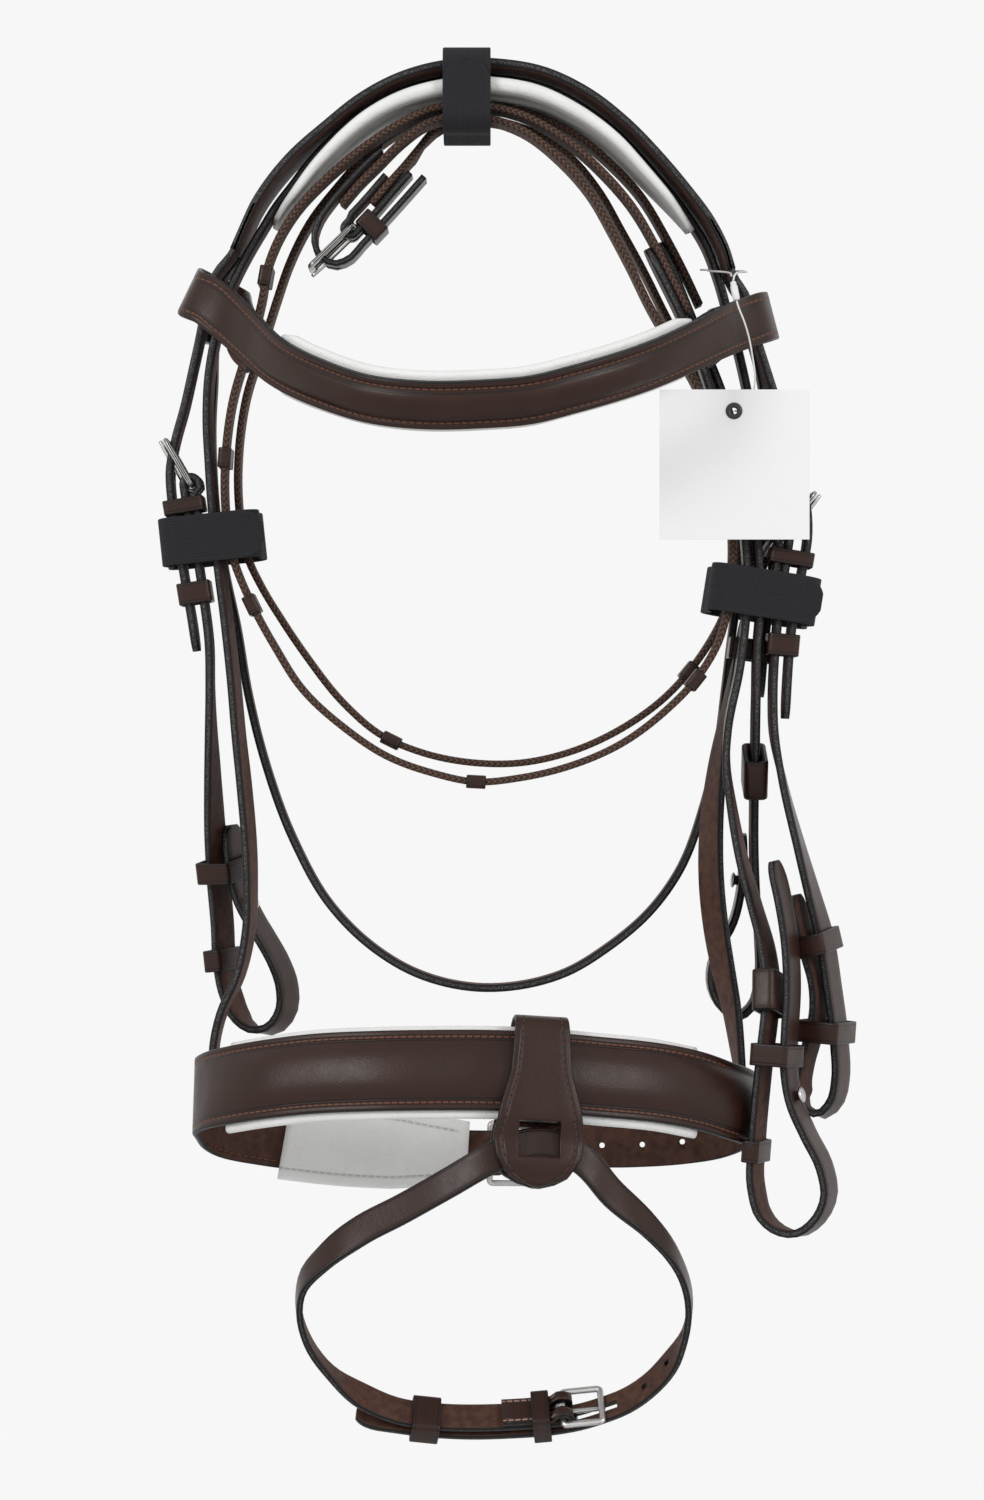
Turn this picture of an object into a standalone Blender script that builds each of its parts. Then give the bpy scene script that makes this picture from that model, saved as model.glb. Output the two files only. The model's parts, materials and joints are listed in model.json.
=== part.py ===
"""A snaffle bridle with a padded flash noseband and web reins, hanging from one hook.

The straps hang on edge, so each one is drawn by its near edge as seen from the front.
A route gives that edge in picture points, with a depth and a direction of the strap's width.
"""

import math

import bmesh
import bpy
import numpy as np
from mathutils import Vector

# The view that the routes are drawn in
PIXEL = 0.00044
VIEW_DISTANCE = 1.6
VIEW_CENTRE_PIXEL = (492, 750)
HOOK_PIXEL = (467, 135)

# Straps
LEATHER = 0.0034
CHEEK_WIDTH = 0.0155
THROAT_WIDTH = 0.012
SLIPHEAD_WIDTH = 0.0155
REIN_WIDTH = 0.0155
WEB = 0.0030
FLASH_WIDTH = 0.013
FLASH_LEATHER = 0.0028
BACK_STRAP_WIDTH = 0.020
TIP_LENGTH = 0.010

# Padded bands
BROWBAND_WIDTH = 0.0215
BROWBAND_RELIEF = 0.0026
NOSEBAND_WIDTH = 0.0345
NOSEBAND_RELIEF = 0.0032
BAND_LEATHER = 0.0030
LINING = 0.0042
LINING_STAND = 0.0028
CROWN_PAD = 0.0062
CROWN_PAD_WIDTH = 0.046

# Clearances and small pieces
SEAT = 0.0003
LOOSE = 0.0007
LANE_GAP = 0.0062
EASY = 0.0014
KEEPER_WALL = 0.0014
KEEPER_CORNER = 0.001
KEEPER_LENGTH = 0.0095
STUD_RADIUS = 0.0035
WIRE_RADIUS = 0.0013
TONGUE_RADIUS = 0.0010
TONGUE_PAST_SHARE = 0.1
TONGUE_SLOT = 0.0038
SLOT_REACH = 0.0055
HOLE_SPARE = 0.003
FOLD_CLEAR = 0.002
FOLD_SHUT = 0.005
TIE_WALL = 0.0018
TIE_WIDTH = 0.0208
ROUTE_STEP = 0.009

# The crown is as wide as the two lanes of straps that it splits into
CROWN_WIDTH = 2 * CHEEK_WIDTH + LANE_GAP

# Depths of the near edges, from the front lane to the one nearest the wall
FRONT_LANE = -(CHEEK_WIDTH + LANE_GAP / 2)
MIDDLE_LANE = -REIN_WIDTH / 2
BACK_LANE = LANE_GAP / 2
DEEP_LANE = BACK_LANE + CHEEK_WIDTH + LANE_GAP

FLAT_SHARES = ((0.0, 0.0), (1.0, 0.0))
RAISED_SHARES = ((0.0, 0.0), (0.17, 0.0), (0.3, 0.75), (0.5, 1.0), (0.7, 0.75), (0.83, 0.0), (1.0, 0.0))
TIP_SHARES = ((0.0, 0.42), (0.35, 0.76), (1.0, 1.0))


def clear_scene():
    for old in list(bpy.data.objects):
        bpy.data.objects.remove(old, do_unlink=True)


def collection(name):
    made = bpy.data.collections.new(name)
    bpy.context.scene.collection.children.link(made)
    return made


def finish(name, colour, roughness, metallic=0.0):
    made = bpy.data.materials.new(name)
    made.use_nodes = True
    shader = made.node_tree.nodes["Principled BSDF"]
    shader.inputs["Base Color"].default_value = (*colour, 1.0)
    shader.inputs["Roughness"].default_value = roughness
    shader.inputs["Metallic"].default_value = metallic
    return made


clear_scene()
BRIDLE = collection("horse_bridle")
CUTTERS = collection("cutters")
BROWN = finish("brown_leather", (0.045, 0.022, 0.016), 0.42)
WHITE = finish("white_lining", (0.86, 0.86, 0.85), 0.55)
BRAID = finish("brown_web", (0.08, 0.045, 0.035), 0.8)
BLACK = finish("black_tie", (0.02, 0.02, 0.025), 0.85)
STEEL = finish("steel", (0.62, 0.61, 0.6), 0.28, 1.0)
CARD = finish("white_card", (0.85, 0.85, 0.86), 0.5)


def place(across, down, depth):
    """The world point that the picture shows at this pixel, at this depth from the hook."""
    reach = PIXEL * (VIEW_DISTANCE + depth) / VIEW_DISTANCE
    hook_x = (HOOK_PIXEL[0] - VIEW_CENTRE_PIXEL[0]) * PIXEL
    hook_z = (VIEW_CENTRE_PIXEL[1] - HOOK_PIXEL[1]) * PIXEL
    x = (across - VIEW_CENTRE_PIXEL[0]) * reach - hook_x
    z = (VIEW_CENTRE_PIXEL[1] - down) * reach - hook_z
    return Vector((x, depth, z))


def turned(degrees):
    """The direction of a strap's width: straight back at 0, turned to the right above 0."""
    angle = math.radians(degrees)
    return (math.sin(angle), math.cos(angle), 0.0)


def spread(values, count):
    """As many values as there are points, blended evenly from the few that are given."""
    given = np.array(values, dtype=float)
    if given.ndim == 1:
        given = given[:, None]
    marks = np.linspace(0, len(given) - 1, count)
    columns = [np.interp(marks, range(len(given)), column) for column in given.T]
    return np.array(columns).T


def route(pixels, depths, guides):
    """Control points of a strap: place and width direction of its near edge."""
    count = len(pixels)
    depth = spread(depths, count)
    guide = spread(guides, count)
    places = [place(x, y, depth[i][0]) for i, (x, y) in enumerate(pixels)]
    return [np.array([*places[i], *guide[i]]) for i in range(count)]


class Station:
    """One cross-section of a strap: where it is, which way it runs, lies and faces."""

    def __init__(self, point, tangent, guide, run):
        self.point = point
        self.tangent = tangent.normalized()
        self.width = (guide - self.tangent * guide.dot(self.tangent)).normalized()
        self.face = self.tangent.cross(self.width)
        self.run = run


def stations(controls, step=ROUTE_STEP, tips=(False, False)):
    """Sections spaced along a smooth curve through the control points."""
    knots = np.array(controls)
    chords = np.linalg.norm(np.diff(knots[:, :3], axis=0), axis=1)
    slopes = np.diff(knots, axis=0) / chords[:, None]
    inner = (slopes[:-1] * chords[1:, None] + slopes[1:] * chords[:-1, None])
    inner = inner / (chords[:-1] + chords[1:])[:, None]
    ends = [slopes[0], *inner, slopes[-1]]
    fine = []
    shares = np.linspace(0, 1, 13)[:-1]
    for i, chord in enumerate(chords):
        for u in shares:
            start = (1 + 2 * u) * (1 - u) ** 2 * knots[i] + u * (1 - u) ** 2 * chord * ends[i]
            stop = u * u * (3 - 2 * u) * knots[i + 1] + u * u * (u - 1) * chord * ends[i + 1]
            fine.append(start + stop)
    fine.append(knots[-1])
    fine = np.array(fine)
    steps = np.linalg.norm(np.diff(fine[:, :3], axis=0), axis=1)
    runs = np.concatenate([[0], np.cumsum(steps)])
    total = runs[-1]
    lead = TIP_LENGTH if tips[0] else 0
    tail = total - TIP_LENGTH if tips[1] else total
    marks = list(np.linspace(lead, tail, max(2, round((tail - lead) / step) + 1)))
    if tips[0]:
        marks = [share * TIP_LENGTH for share, narrow in TIP_SHARES[:-1]] + marks
    if tips[1]:
        marks += [total - share * TIP_LENGTH for share, narrow in TIP_SHARES[-2::-1]]
    sampled = np.array([np.interp(marks, runs, column) for column in fine.T]).T
    points = [Vector(row[:3]) for row in sampled]
    made = []
    for i, row in enumerate(sampled):
        before = points[max(i - 1, 0)]
        after = points[min(i + 1, len(points) - 1)]
        made.append(Station(points[i], after - before, Vector(row[3:]), marks[i]))
    return made


FOLDED = 9


def fold(line, bar_gap, layer_gap, length, side=1, thickness=LEATHER):
    """Adds a chape to a strap's end: once round a bar, then back along the strap."""
    last = line[-1]
    outward = last.face * side
    centre = last.point + outward * bar_gap
    turn = []
    for step in range(1, 7):
        angle = math.pi * step / 6
        point = centre - outward * math.cos(angle) * bar_gap + last.tangent * math.sin(angle) * bar_gap
        tangent = outward * math.sin(angle) + last.tangent * math.cos(angle)
        turn.append(Station(point, tangent, last.width, last.run + angle * bar_gap))
    turned_run = turn[-1].run
    for back, reach in ((FOLD_CLEAR, 2 * bar_gap), (FOLD_SHUT, thickness + layer_gap),
                        (length, thickness + layer_gap)):
        beside = at_run(line, last.run - back)
        point = beside.point + beside.face * side * reach
        turn.append(Station(point, -beside.tangent, beside.width, turned_run + back))
    return line + turn, centre, (last.run - SLOT_REACH, turned_run + SLOT_REACH)


def at_run(line, run):
    """A section at this distance along the strap."""
    index = next(i for i, station in enumerate(line) if station.run > run or station is line[-1])
    one, two = line[index - 1], line[index]
    share = (run - one.run) / (two.run - one.run)
    return Station(one.point.lerp(two.point, share), one.tangent.lerp(two.tangent, share),
                   one.width.lerp(two.width, share), run)


def opened(line, holes):
    """The stations with one more at each end of every hole, and which of them lie in a hole."""
    made = list(line)
    for run in [mark for hole in holes for mark in hole]:
        index = next(i for i, station in enumerate(made) if station.run > run)
        if min(run - made[index - 1].run, made[index].run - run) > SEAT:
            made.insert(index, at_run(made, run))
    inside = [any(hole[0] - SEAT < station.run < hole[1] + SEAT for hole in holes) for station in made]
    return made, inside


def wrapped(line, wraps):
    """The stations with two more at each end of every wrap, and which of them lie in a wrap."""
    made = list(line)
    for low, high in wraps:
        for run in (low - SEAT, low, high, high + SEAT):
            index = next(i for i, station in enumerate(made) if station.run > run)
            made.insert(index, at_run(made, run))
    inside = [any(low - SEAT / 2 < station.run < high + SEAT / 2 for low, high in wraps)
              for station in made]
    return made, inside


def skin(bm, rows, holed):
    """Faces between the rows of a strap, left open between two rows that lie in a hole."""
    for number, (one, two) in enumerate(zip(rows, rows[1:])):
        if holed[number] and holed[number + 1]:
            for k in (0, 2):
                bm.faces.new((one[k], two[k], two[k + 1], one[k + 1]))
        elif holed[number] or holed[number + 1]:
            bm.faces.new((one[0], *two, *one[:0:-1]))
        else:
            for k in range(len(one) - 1):
                bm.faces.new((one[k], two[k], two[k + 1], one[k + 1]))


def add_object(name, mesh, material, pivot=None):
    made = bpy.data.objects.new(name, mesh)
    mesh.materials.append(material)
    BRIDLE.objects.link(made)
    if pivot is not None:
        made.location = pivot
    return made


def profile(marks, along):
    """A share that changes along a strap, or 1 where none is given."""
    if marks is None:
        return 1.0
    return float(np.interp(along, [mark for mark, size in marks], [size for mark, size in marks]))


def narrowing(run, total, tips):
    share = 1.0
    places = [place for place, narrow in TIP_SHARES]
    widths = [narrow for place, narrow in TIP_SHARES]
    if tips[0]:
        share = min(share, np.interp(run / TIP_LENGTH, places, widths))
    if tips[1]:
        share = min(share, np.interp((total - run) / TIP_LENGTH, places, widths))
    return share


def ribbon(name, line, width, thickness, material, side=0.0, across=FLAT_SHARES, relief=0.0,
           lift=0.0, tips=(False, False), wide=None, swell=None, thick=None, holes=(), wraps=()):
    """A strap: an open surface along the stations, made solid to its thickness.

    `wraps` are runs where a leather grip is sewn round it, which makes it thicker and wider there.
    """
    line, holed = opened(line, holes)
    line, covered = wrapped(line, wraps)
    holed += [False] * (len(line) - len(holed))
    mesh = bpy.data.meshes.new(name)
    bm = bmesh.new()
    rows = []
    total = line[-1].run
    for number, station in enumerate(line):
        along = number / (len(line) - 1)
        share = narrowing(station.run, total, tips)
        share *= profile(wide, along)
        share *= 1 + 2 * KEEPER_WALL / width if covered[number] else 1
        rise_here = relief * profile(swell, along)
        half_slot = TONGUE_SLOT / 2 / width / share
        slot_sides = ((0.0, 0.0), (0.5 - half_slot, 0.0), (0.5 + half_slot, 0.0), (1.0, 0.0))
        row = []
        for place_share, rise in slot_sides if holed[number] else across:
            off = (0.5 + (place_share - 0.5) * share - side) * width
            point = station.point + station.width * off + station.face * (rise * rise_here + lift)
            row.append(bm.verts.new(point))
        rows.append(row)
    skin(bm, rows, holed)
    bm.to_mesh(mesh)
    bm.free()
    made = add_object(name, mesh, material)
    solid = made.modifiers.new("thickness", "SOLIDIFY")
    solid.thickness = thickness + 2 * KEEPER_WALL if wraps else thickness
    solid.offset = 0.0
    solid.use_even_offset = True
    if thick or wraps:
        group = made.vertex_groups.new(name="thickness")
        for number in range(len(line)):
            share = profile(thick, number / (len(line) - 1))
            share *= 1 if covered[number] else thickness / solid.thickness
            group.add(range(number * len(across), (number + 1) * len(across)), share, "REPLACE")
        solid.vertex_group = "thickness"
    return made


def nearest(line, across, down):
    """The station whose near edge the picture shows closest to this pixel."""
    def miss(station):
        depth = station.point.y
        return (station.point - place(across, down, depth)).length
    return min(line, key=miss)


def between(line, across, down):
    """A section at this pixel, blended from the two nearest ones."""
    target = nearest(line, across, down)
    index = min(max(line.index(target), 1), len(line) - 2)
    best = None
    for one, two in ((line[index - 1], line[index]), (line[index], line[index + 1])):
        goal = place(across, down, (one.point.y + two.point.y) / 2)
        run = two.point - one.point
        share = min(1.0, max(0.0, (goal - one.point).dot(run) / max(run.length_squared, SEAT ** 2)))
        point = one.point.lerp(two.point, share)
        miss = (point - goal).length
        if best is None or miss < best[0]:
            made = Station(point, one.tangent.lerp(two.tangent, share), one.width.lerp(two.width, share),
                           one.run + (two.run - one.run) * share)
            best = (miss, made)
    return best[1]


def legs(line, across, down):
    """The two halves of a strap that turns back at this pixel."""
    turn = line.index(nearest(line, across, down))
    return line[:turn + 1], line[turn:]


def band_rows(bm, centre, station, half_width, half_depth, length):
    """An open rectangular band round a section of strap, to be made solid to its wall."""
    outline = ((half_width - KEEPER_CORNER, half_depth), (half_width, half_depth - KEEPER_CORNER))
    corners = []
    for flip_w, flip_f in ((1, 1), (1, -1), (-1, -1), (-1, 1)):
        pair = [(flip_w * a, flip_f * b) for a, b in outline]
        corners += pair if flip_w * flip_f > 0 else pair[::-1]
    rows = []
    for end in (-length / 2, length / 2):
        rows.append([bm.verts.new(centre + station.width * a + station.face * b + station.tangent * end)
                     for a, b in corners])
    for k in range(len(corners)):
        after = (k + 1) % len(corners)
        bm.faces.new((rows[0][k], rows[0][after], rows[1][after], rows[1][k]))


def keeper(name, first, second, pixel, width=CHEEK_WIDTH, thickness=LEATHER, side=0.0, length=KEEPER_LENGTH,
           wall=KEEPER_WALL, slack=LOOSE, beyond=0.0, moving=False):
    """A band at this pixel round two straps, or round one given twice.

    `beyond` is room for a chape's layer past the second strap. A moving keeper has its origin at its
    middle.
    """
    one = between(first, *pixel)
    two = one if second is first else between(second, *pixel)
    same_way = 1 if one.tangent.dot(two.tangent) > 0 else -1
    spread_out = abs(one.tangent.cross(two.tangent).dot(one.width)) * length / 2
    station = Station(one.point, one.tangent + two.tangent * same_way, one.width, one.run)
    apart = two.point - one.point
    half_width = abs(apart.dot(station.width)) / 2 + width / 2 + slack + wall / 2
    deep_apart = apart.dot(station.face)
    room = abs(deep_apart) + beyond
    half_depth = (room + thickness + spread_out) / 2 + slack + wall / 2
    centre = one.point + station.width * ((0.5 - side) * width + apart.dot(station.width) / 2)
    centre += station.face * math.copysign(room / 2, deep_apart) - station.width * max(slack - LOOSE, 0.0)
    origin = centre if moving else Vector()
    mesh = bpy.data.meshes.new(name)
    bm = bmesh.new()
    band_rows(bm, centre - origin, station, half_width, half_depth, length)
    bm.to_mesh(mesh)
    bm.free()
    solid = add_object(name, mesh, BROWN, origin).modifiers.new("wall", "SOLIDIFY")
    solid.thickness = wall
    solid.offset = 0.0
    solid.use_even_offset = True


def wire(name, points, radius, material, pivot=None, cyclic=False, resolution=1):
    """A bent rod or ring through the points."""
    origin = pivot or Vector()
    data = bpy.data.curves.new(name, "CURVE")
    data.dimensions = "3D"
    data.bevel_depth = radius
    data.bevel_resolution = resolution
    data.use_fill_caps = True
    spline = data.splines.new("POLY")
    spline.points.add(len(points) - 1)
    for slot, point in zip(spline.points, points):
        slot.co = (*(point - origin), 1.0)
    spline.use_cyclic_u = cyclic
    return add_object(name, data, material, pivot)


def cut_box(target, centre, axes, size):
    """Cuts a box-shaped slot through a strap."""
    mesh = bpy.data.meshes.new("slot")
    bm = bmesh.new()
    bmesh.ops.create_cube(bm, size=1.0)
    for vertex in bm.verts:
        x, y, z = (vertex.co[k] * size[k] for k in range(3))
        vertex.co = axes[0] * x + axes[1] * y + axes[2] * z
    bmesh.ops.recalc_face_normals(bm, faces=bm.faces)
    bm.to_mesh(mesh)
    bm.free()
    cutter = bpy.data.objects.new("slot", mesh)
    cutter.location = centre
    cutter.hide_render = True
    cutter.display_type = "WIRE"
    CUTTERS.objects.link(cutter)
    cut = target.modifiers.new("slot", "BOOLEAN")
    cut.operation = "DIFFERENCE"
    cut.object = cutter
    return cutter


def buckle(prefix, bar, far, across, width, line, side=0.0, outward=None):
    """A wire frame from the bar in the chape to its far side, and the tongue that turns on the bar.

    Gives the hole that the tongue needs in its billet.
    """
    to_middle = across * ((0.5 - side) * width)
    middle = bar + to_middle
    reach = far - bar
    reach -= across * reach.dot(across)
    length = reach.length
    along = reach.normalized()
    up = along.cross(across)
    if up.dot(outward) < 0:
        up = -up
    half = width / 2 + LOOSE + WIRE_RADIUS
    outline = ((0, half - WIRE_RADIUS), (0, WIRE_RADIUS - half), (WIRE_RADIUS, -half),
               (length - WIRE_RADIUS, -half), (length, WIRE_RADIUS - half), (length, half - WIRE_RADIUS),
               (length - WIRE_RADIUS, half), (WIRE_RADIUS, half))
    points = [middle + along * x + across * y for x, y in outline]
    wire(f"{prefix}_buckle_frame", points, WIRE_RADIUS, STEEL, cyclic=True)
    eye = WIRE_RADIUS + TONGUE_RADIUS + SEAT
    ring = [middle + along * math.sin(a) * eye + up * math.cos(a) * eye
            for a in np.linspace(-math.radians(200), 0, 9)]
    rod = along * length * (1.0 + TONGUE_PAST_SHARE)
    ring += [middle + rod * share + up * eye for share in (0.5, 1.0)]
    wire(f"{prefix}_buckle_tongue", ring, TONGUE_RADIUS, STEEL, middle)
    return tongue_hole(line, middle + up * eye, rod, to_middle)


def tongue_hole(line, start, rod, to_middle):
    """The runs of a strap between which the tongue's rod goes through it."""
    clear = LEATHER / 2 + TONGUE_RADIUS + SEAT
    runs = []
    for one, two in zip(line, line[1:]):
        for share in np.linspace(0, 1, 13):
            offset = one.point.lerp(two.point, float(share)) + to_middle - start
            along = min(1.0, max(0.0, offset.dot(rod) / rod.length_squared))
            if (offset - rod * along).length < clear:
                runs.append(one.run + (two.run - one.run) * share)
    return min(runs) - HOLE_SPARE, max(runs) + HOLE_SPARE


def straight(points, width, tip=0.0):
    """Sections exactly at the points given, with more of them where the end is rounded."""
    spots = list(points)
    if tip:
        back = (spots[-2] - spots[-1]).normalized()
        spots[-1:] = [spots[-1] + back * share * TIP_LENGTH for share, narrow in TIP_SHARES[::-1]]
    made = []
    run = 0.0
    for i, spot in enumerate(spots):
        before = spots[max(i - 1, 0)]
        after = spots[min(i + 1, len(spots) - 1)]
        run += (spot - before).length
        made.append(Station(spot, after - before, width, run))
    return made


# Head straps

CROWN_PIXELS = ((232, 252), (243, 227), (254, 203), (269, 180), (290, 155), (325, 124), (362, 95),
                (398, 76), (430, 66), (468, 61), (500, 62), (541, 69), (590, 92), (626, 120),
                (662, 157), (688, 188), (711, 219), (725, 246), (734, 275))
CHEEK_BILLET_LEFT_PIXELS = ((232, 252), (219, 279), (209, 308), (203, 340), (196, 372), (187, 412),
                            (178, 445), (173, 473), (174, 498), (179, 530), (184, 560), (189, 590),
                            (194, 618), (199, 652))
CHEEK_BILLET_RIGHT_PIXELS = ((734, 275), (743, 300), (752, 335), (766, 380), (782, 430), (796, 475),
                             (804, 510), (805, 540), (800, 570), (793, 605), (788, 640), (785, 680),
                             (783, 719))
THROAT_TAB_LEFT_PIXELS = ((232, 252), (219, 279), (210, 308), (205, 340))
THROAT_BILLET_RIGHT_PIXELS = ((734, 275), (743, 300), (752, 335), (762, 375), (767, 415), (768, 455),
                              (768, 495), (767, 530), (764, 556))
THROAT_BILLET_SHARES = (0.0, 0.0, 0.0, 0.35, 0.85, 1.0, 1.0, 1.0, 1.0)
THROAT_BILLET_DEPTHS = [share * (DEEP_LANE - BACK_LANE) for share in THROAT_BILLET_SHARES]
FLAT_DEPTHS = (0.0,)


CROWN_INNER = (CHEEK_WIDTH - CROWN_WIDTH / 2, BACK_LANE)
CROWN_OFFS = (-CROWN_WIDTH / 2, *CROWN_INNER, CROWN_WIDTH / 2)
CROWN_BILLETS = ((CHEEK_BILLET_LEFT_PIXELS, FLAT_DEPTHS, 0, (0, 1), CROWN_OFFS[:2], True),
                 (CHEEK_BILLET_RIGHT_PIXELS, FLAT_DEPTHS, -1, (0, 1), CROWN_OFFS[:2], True),
                 (THROAT_TAB_LEFT_PIXELS, FLAT_DEPTHS, 0, (2, 3), CROWN_OFFS[2:], False),
                 (THROAT_BILLET_RIGHT_PIXELS, THROAT_BILLET_DEPTHS, -1, (2, 3),
                  (BACK_LANE, BACK_LANE + THROAT_WIDTH), True))


def billet_lines():
    """Each billet of the crown, read along its own near edge."""
    made = []
    for pixels, depths, end, columns, offs, tipped in CROWN_BILLETS:
        line = stations(route(pixels, depths, (turned(0),)), tips=(False, tipped))
        made.append([Station(s.point + s.width * offs[0], s.tangent, s.width, s.run) for s in line])
    return made


LEFT_BILLET, RIGHT_BILLET, THROAT_TAB, THROAT_BILLET = billet_lines()


def crown_strap(lines, holes):
    """The headpiece: one wide strap over the poll, slit at both ends into two billets."""
    mesh = bpy.data.meshes.new("crown_strap")
    bm = bmesh.new()
    main = stations(route(CROWN_PIXELS, (FRONT_LANE,), (turned(0),)))
    rows = [[bm.verts.new(station.point + station.width * (off + CROWN_WIDTH / 2)) for off in CROWN_OFFS]
            for station in main]
    skin(bm, rows, [False] * len(rows))
    for number, (pixels, depths, end, columns, offs, tipped) in enumerate(CROWN_BILLETS):
        line, holed = opened(lines[number], holes[number])
        wide = offs[1] - offs[0]
        billet_rows = [[rows[end][k] for k in columns]]
        for station, in_hole in zip(line[1:], holed[1:]):
            half = narrowing(station.run, line[-1].run, (False, tipped)) * wide / 2
            sides = (-half, -TONGUE_SLOT / 2, TONGUE_SLOT / 2, half) if in_hole else (-half, half)
            billet_rows.append([bm.verts.new(station.point + station.width * (wide / 2 + off))
                                for off in sides])
        skin(bm, billet_rows, holed)
    bmesh.ops.recalc_face_normals(bm, faces=bm.faces)
    bm.to_mesh(mesh)
    bm.free()
    solid = add_object("crown_strap", mesh, BROWN).modifiers.new("thickness", "SOLIDIFY")
    solid.thickness = LEATHER
    solid.offset = 0.0
    solid.use_even_offset = True


SLIPHEAD_PIXELS = ((213, 1088), (213, 1044), (221, 1010), (234, 982), (245, 932), (246, 878), (239, 780),
                   (235, 740), (230, 680), (223, 615), (216, 559), (211, 507), (208, 462), (206, 420),
                   (208, 375), (215, 335), (225, 300), (236, 275), (249, 250), (262, 228), (277, 204),
                   (291, 186), (306, 166), (330, 140), (362, 112), (398, 92), (430, 82), (468, 77),
                   (500, 78), (541, 86), (577, 103), (614, 130), (650, 168), (682, 207), (706, 244),
                   (718, 275), (728, 310), (739, 350), (750, 400), (760, 460), (768, 510), (774, 545),
                   (773, 580), (768, 620), (764, 660), (761, 697))
SLIPHEAD_DEPTHS = (FRONT_LANE, FRONT_LANE, FRONT_LANE, FRONT_LANE, MIDDLE_LANE, MIDDLE_LANE,
                   MIDDLE_LANE, BACK_LANE, BACK_LANE, BACK_LANE)
SLIPHEAD_LINE = stations(route(SLIPHEAD_PIXELS, SLIPHEAD_DEPTHS,
                               (turned(0), turned(12), turned(4), turned(0), turned(0), turned(0),
                                turned(0), turned(0), turned(0))), tips=(False, True))

# The padding follows the underside of the sliphead, with its middle above the hook
PADDING_ENDS = ((268, 219), (700, 234))
PADDING_WIDE_SHARES = ((0.0, 0.35), (0.08, 0.8), (0.2, 1.0), (0.8, 1.0), (0.92, 0.8), (1.0, 0.35))


PADDING_THICK_SHARES = ((0.0, 0.45), (0.15, 0.7), (0.4, 1.0), (0.6, 1.0), (0.85, 0.7), (1.0, 0.45))


def padding_line():
    first = SLIPHEAD_LINE.index(nearest(SLIPHEAD_LINE, *PADDING_ENDS[0]))
    last = SLIPHEAD_LINE.index(nearest(SLIPHEAD_LINE, *PADDING_ENDS[1]))
    made = []
    for number, station in enumerate(SLIPHEAD_LINE[first:last + 1]):
        thick = CROWN_PAD * profile(PADDING_THICK_SHARES, number / (last - first))
        drop = LEATHER / 2 + SEAT + thick / 2
        inward = Vector((station.tangent.z, 0.0, -station.tangent.x)).normalized()
        point = station.point + inward * drop
        point.y = 0.0
        made.append(Station(point, station.tangent, Vector((0, 1, 0)),
                            station.run - SLIPHEAD_LINE[first].run))
    return made


ribbon("crown_padding", padding_line(), CROWN_PAD_WIDTH, CROWN_PAD, WHITE, side=0.5,
       wide=PADDING_WIDE_SHARES, thick=PADDING_THICK_SHARES)

CHAPE_LENGTH = 0.022
SHORT_CHAPE_LENGTH = 0.018
FOLD_RADIUS = WIRE_RADIUS + SEAT + LEATHER / 2

CHEEK_LEFT_PIXELS = ((222, 826), (225, 850), (229, 878), (235, 900), (246, 922), (258, 942), (270, 964),
                     (278, 988), (277, 1012), (266, 1027), (250, 1030), (234, 1020), (222, 997),
                     (215, 962), (213, 925), (209, 880), (207, 840), (207, 790), (208, 740), (209, 690),
                     (208, 640), (203, 600), (197, 560), (190, 525), (185, 500), (183, 485))
CHEEK_LEFT_DEPTHS = ((BACK_LANE,) * 16 + (0.7 * BACK_LANE + 0.3 * FRONT_LANE,
                                          0.35 * BACK_LANE + 0.65 * FRONT_LANE,
                                          0.08 * BACK_LANE + 0.92 * FRONT_LANE) + (FRONT_LANE,) * 7)
CHEEK_LEFT_TURNS = [turned(angle) for angle in [28] * 16 + [22, 14, 6] + [0] * 7]
CHEEK_LEFT_LINE = stations(route(CHEEK_LEFT_PIXELS, CHEEK_LEFT_DEPTHS, CHEEK_LEFT_TURNS),
                           tips=(True, False))
CHEEK_LEFT_LINE, CHEEK_LEFT_BAR, CHEEK_LEFT_SLOT = fold(CHEEK_LEFT_LINE, FOLD_RADIUS, SEAT,
                                                        CHAPE_LENGTH, side=-1)
ribbon("cheekpiece_left", CHEEK_LEFT_LINE, CHEEK_WIDTH, LEATHER, BROWN, tips=(True, False),
       holes=(CHEEK_LEFT_SLOT,))

CHEEK_RIGHT_PIXELS = ((789, 897), (795, 925), (803, 955), (811, 985), (812, 1010), (806, 1040), (799, 1065),
                      (796, 1090), (803, 1109), (817, 1114), (829, 1102), (834, 1080), (833, 1046),
                      (826, 989), (818, 939), (808, 897), (797, 848), (782, 780), (775, 732), (774, 690),
                      (776, 650), (780, 610), (785, 575), (791, 534))
CHEEK_RIGHT_TURNS = [turned(angle) for angle in [27] * 15 + [22, 14, 6] + [0] * 6]
CHEEK_RIGHT_LINE = stations(route(CHEEK_RIGHT_PIXELS, (FRONT_LANE,), CHEEK_RIGHT_TURNS), tips=(True, False))
CHEEK_RIGHT_LINE, CHEEK_RIGHT_BAR, CHEEK_RIGHT_SLOT = fold(CHEEK_RIGHT_LINE, FOLD_RADIUS, SEAT,
                                                           CHAPE_LENGTH, side=1)
ribbon("cheekpiece_right", CHEEK_RIGHT_LINE, CHEEK_WIDTH, LEATHER, BROWN, tips=(True, False),
       holes=(CHEEK_RIGHT_SLOT,))

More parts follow.
